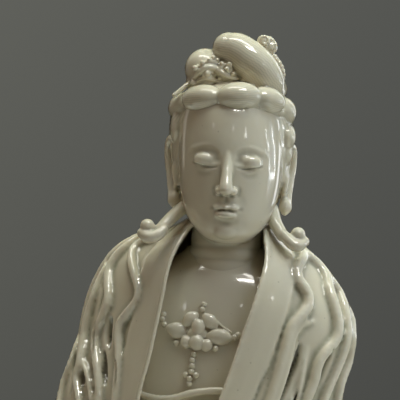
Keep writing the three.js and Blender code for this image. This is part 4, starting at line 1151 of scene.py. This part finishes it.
def makeSleeves():
    forearms = weld([strand(*sleeves[side], steps=12, tall=sleeves["tall"]) for side in ("right", "left")])
    skin = skinOf(forearms)
    clay = [forearms] + [strand(layOn(skin, smoothRoute(route, 10), 0.2), radii, steps=4)
                         for route, radii in sleeves["folds"]]
    piece = fuse("sleeves", clay, sleeves["grain"], 4)
    return finishPiece(piece, 12, 560)


makeSleeves()

# Lap: crossed legs under the cloth, whose hem ripples on the plinth.
lap = {
    "rings": [[-2, 0, -4, 95, 61], [9, 0, -4, 94, 60], [24, 0, -4, 91, 57], [38, 0, -3, 80, 52],
              [50, 0, -2, 64, 46], [62, 0, -2, 48, 40]],
    "squareness": 2.2,
    "hemHeight": 34,
    "hemRipples": 11,
    "hemDepth": 0.024,
    "front": ([(-84, -22, 22), (-48, -46, 25), (0, -54, 18), (48, -46, 25), (84, -22, 22)],
              [12, 18, 14, 18, 12]),
    "knee": ((64, -13, 24), (36, 37, 25)),
    "shin": ([(14, -30, 42), (40, -36, 43), (64, -32, 38), (80, -24, 28)], [12, 17, 17, 12]),
    # each place of a fold: x and z, and how far each next fold moves them
    "foldPlaces": [(5, 56, 0, -12), (24, 42, 4, -10), (52, 36, 7, -4), (78, 42, 5, -8)],
    "foldRadii": [1.6, 3.2, 3, 1.4],
    "folds": 3,
    "grain": 1.25,
}


def lapSwell(angle, z):
    squareness = lap["squareness"]
    bulge = (abs(math.cos(angle)) ** squareness + abs(math.sin(angle)) ** squareness) ** (-1 / squareness)
    low = 1 - min(1, max(0, z / lap["hemHeight"]))
    return bulge + lap["hemDepth"] * low * low * (3 - 2 * low) * math.cos(lap["hemRipples"] * angle)


def makeLap():
    clay = [loft(lap["rings"], around=132, steps=30, swell=lapSwell), strand(*lap["front"], steps=12)]
    (kneeX, kneeY, kneeZ), kneeSize = lap["knee"]
    shin, shinRadii = lap["shin"]
    for side in (-1, 1):
        clay.append(lump((side * kneeX, kneeY, kneeZ), kneeSize, around=48, down=32))
        clay.append(strand([(side * x, y, z) for x, y, z in shin], shinRadii, steps=12))
    body = weld(clay)
    skin = skinOf(body)
    clay = [body]
    for side in (-1, 1):
        for k in range(lap["folds"]):
            route = [(side * (x + k * out), z + k * up) for x, z, out, up in lap["foldPlaces"]]
            clay.append(strand(layOn(skin, smoothRoute(route, 12), 0.2), lap["foldRadii"], steps=4))
    piece = fuse("lap", clay, lap["grain"], 5)
    return finishPiece(piece, 12, 480)


makeLap()

# Plinth: an oval with a straight foot, a hollow waist and a straight rim.
plinth = {"width": 216, "depth": 152, "foot": 6, "rim": 7, "inset": 5, "hollowness": 0.7, "edge": 0.8}


def makePlinth():
    halfWidth, halfDepth, edge = plinth["width"] / 2, plinth["depth"] / 2, plinth["edge"]
    bottom, waistLow, waistHigh = -plinthTop, plinth["foot"] - plinthTop, -plinth["rim"]
    profile = [(bottom, edge)]
    for t in (0.15, 0.4, 0.7, 1):
        profile.append((bottom + edge * t, edge * (1 - math.sqrt(1 - (1 - t) ** 2))))
    profile += [(waistLow - edge, 0), (waistLow, edge * 0.6)]
    for i in range(1, 12):
        t = i / 12
        inset = plinth["inset"] * math.sin(math.pi * t) ** plinth["hollowness"]
        profile.append((waistLow + (waistHigh - waistLow) * t, inset))
    profile += [(waistHigh, edge * 0.6), (waistHigh + edge, 0), (-edge, 0), (-edge * 0.4, edge * 0.2),
                (0, edge)]
    rings = [[z, 0, 0, halfWidth - inset, halfDepth - inset] for z, inset in profile]
    piece = loft(rings, around=160, exact=True)
    piece.name = piece.data.name = "plinth"
    return finishPiece(piece, 3, 200)


makePlinth()
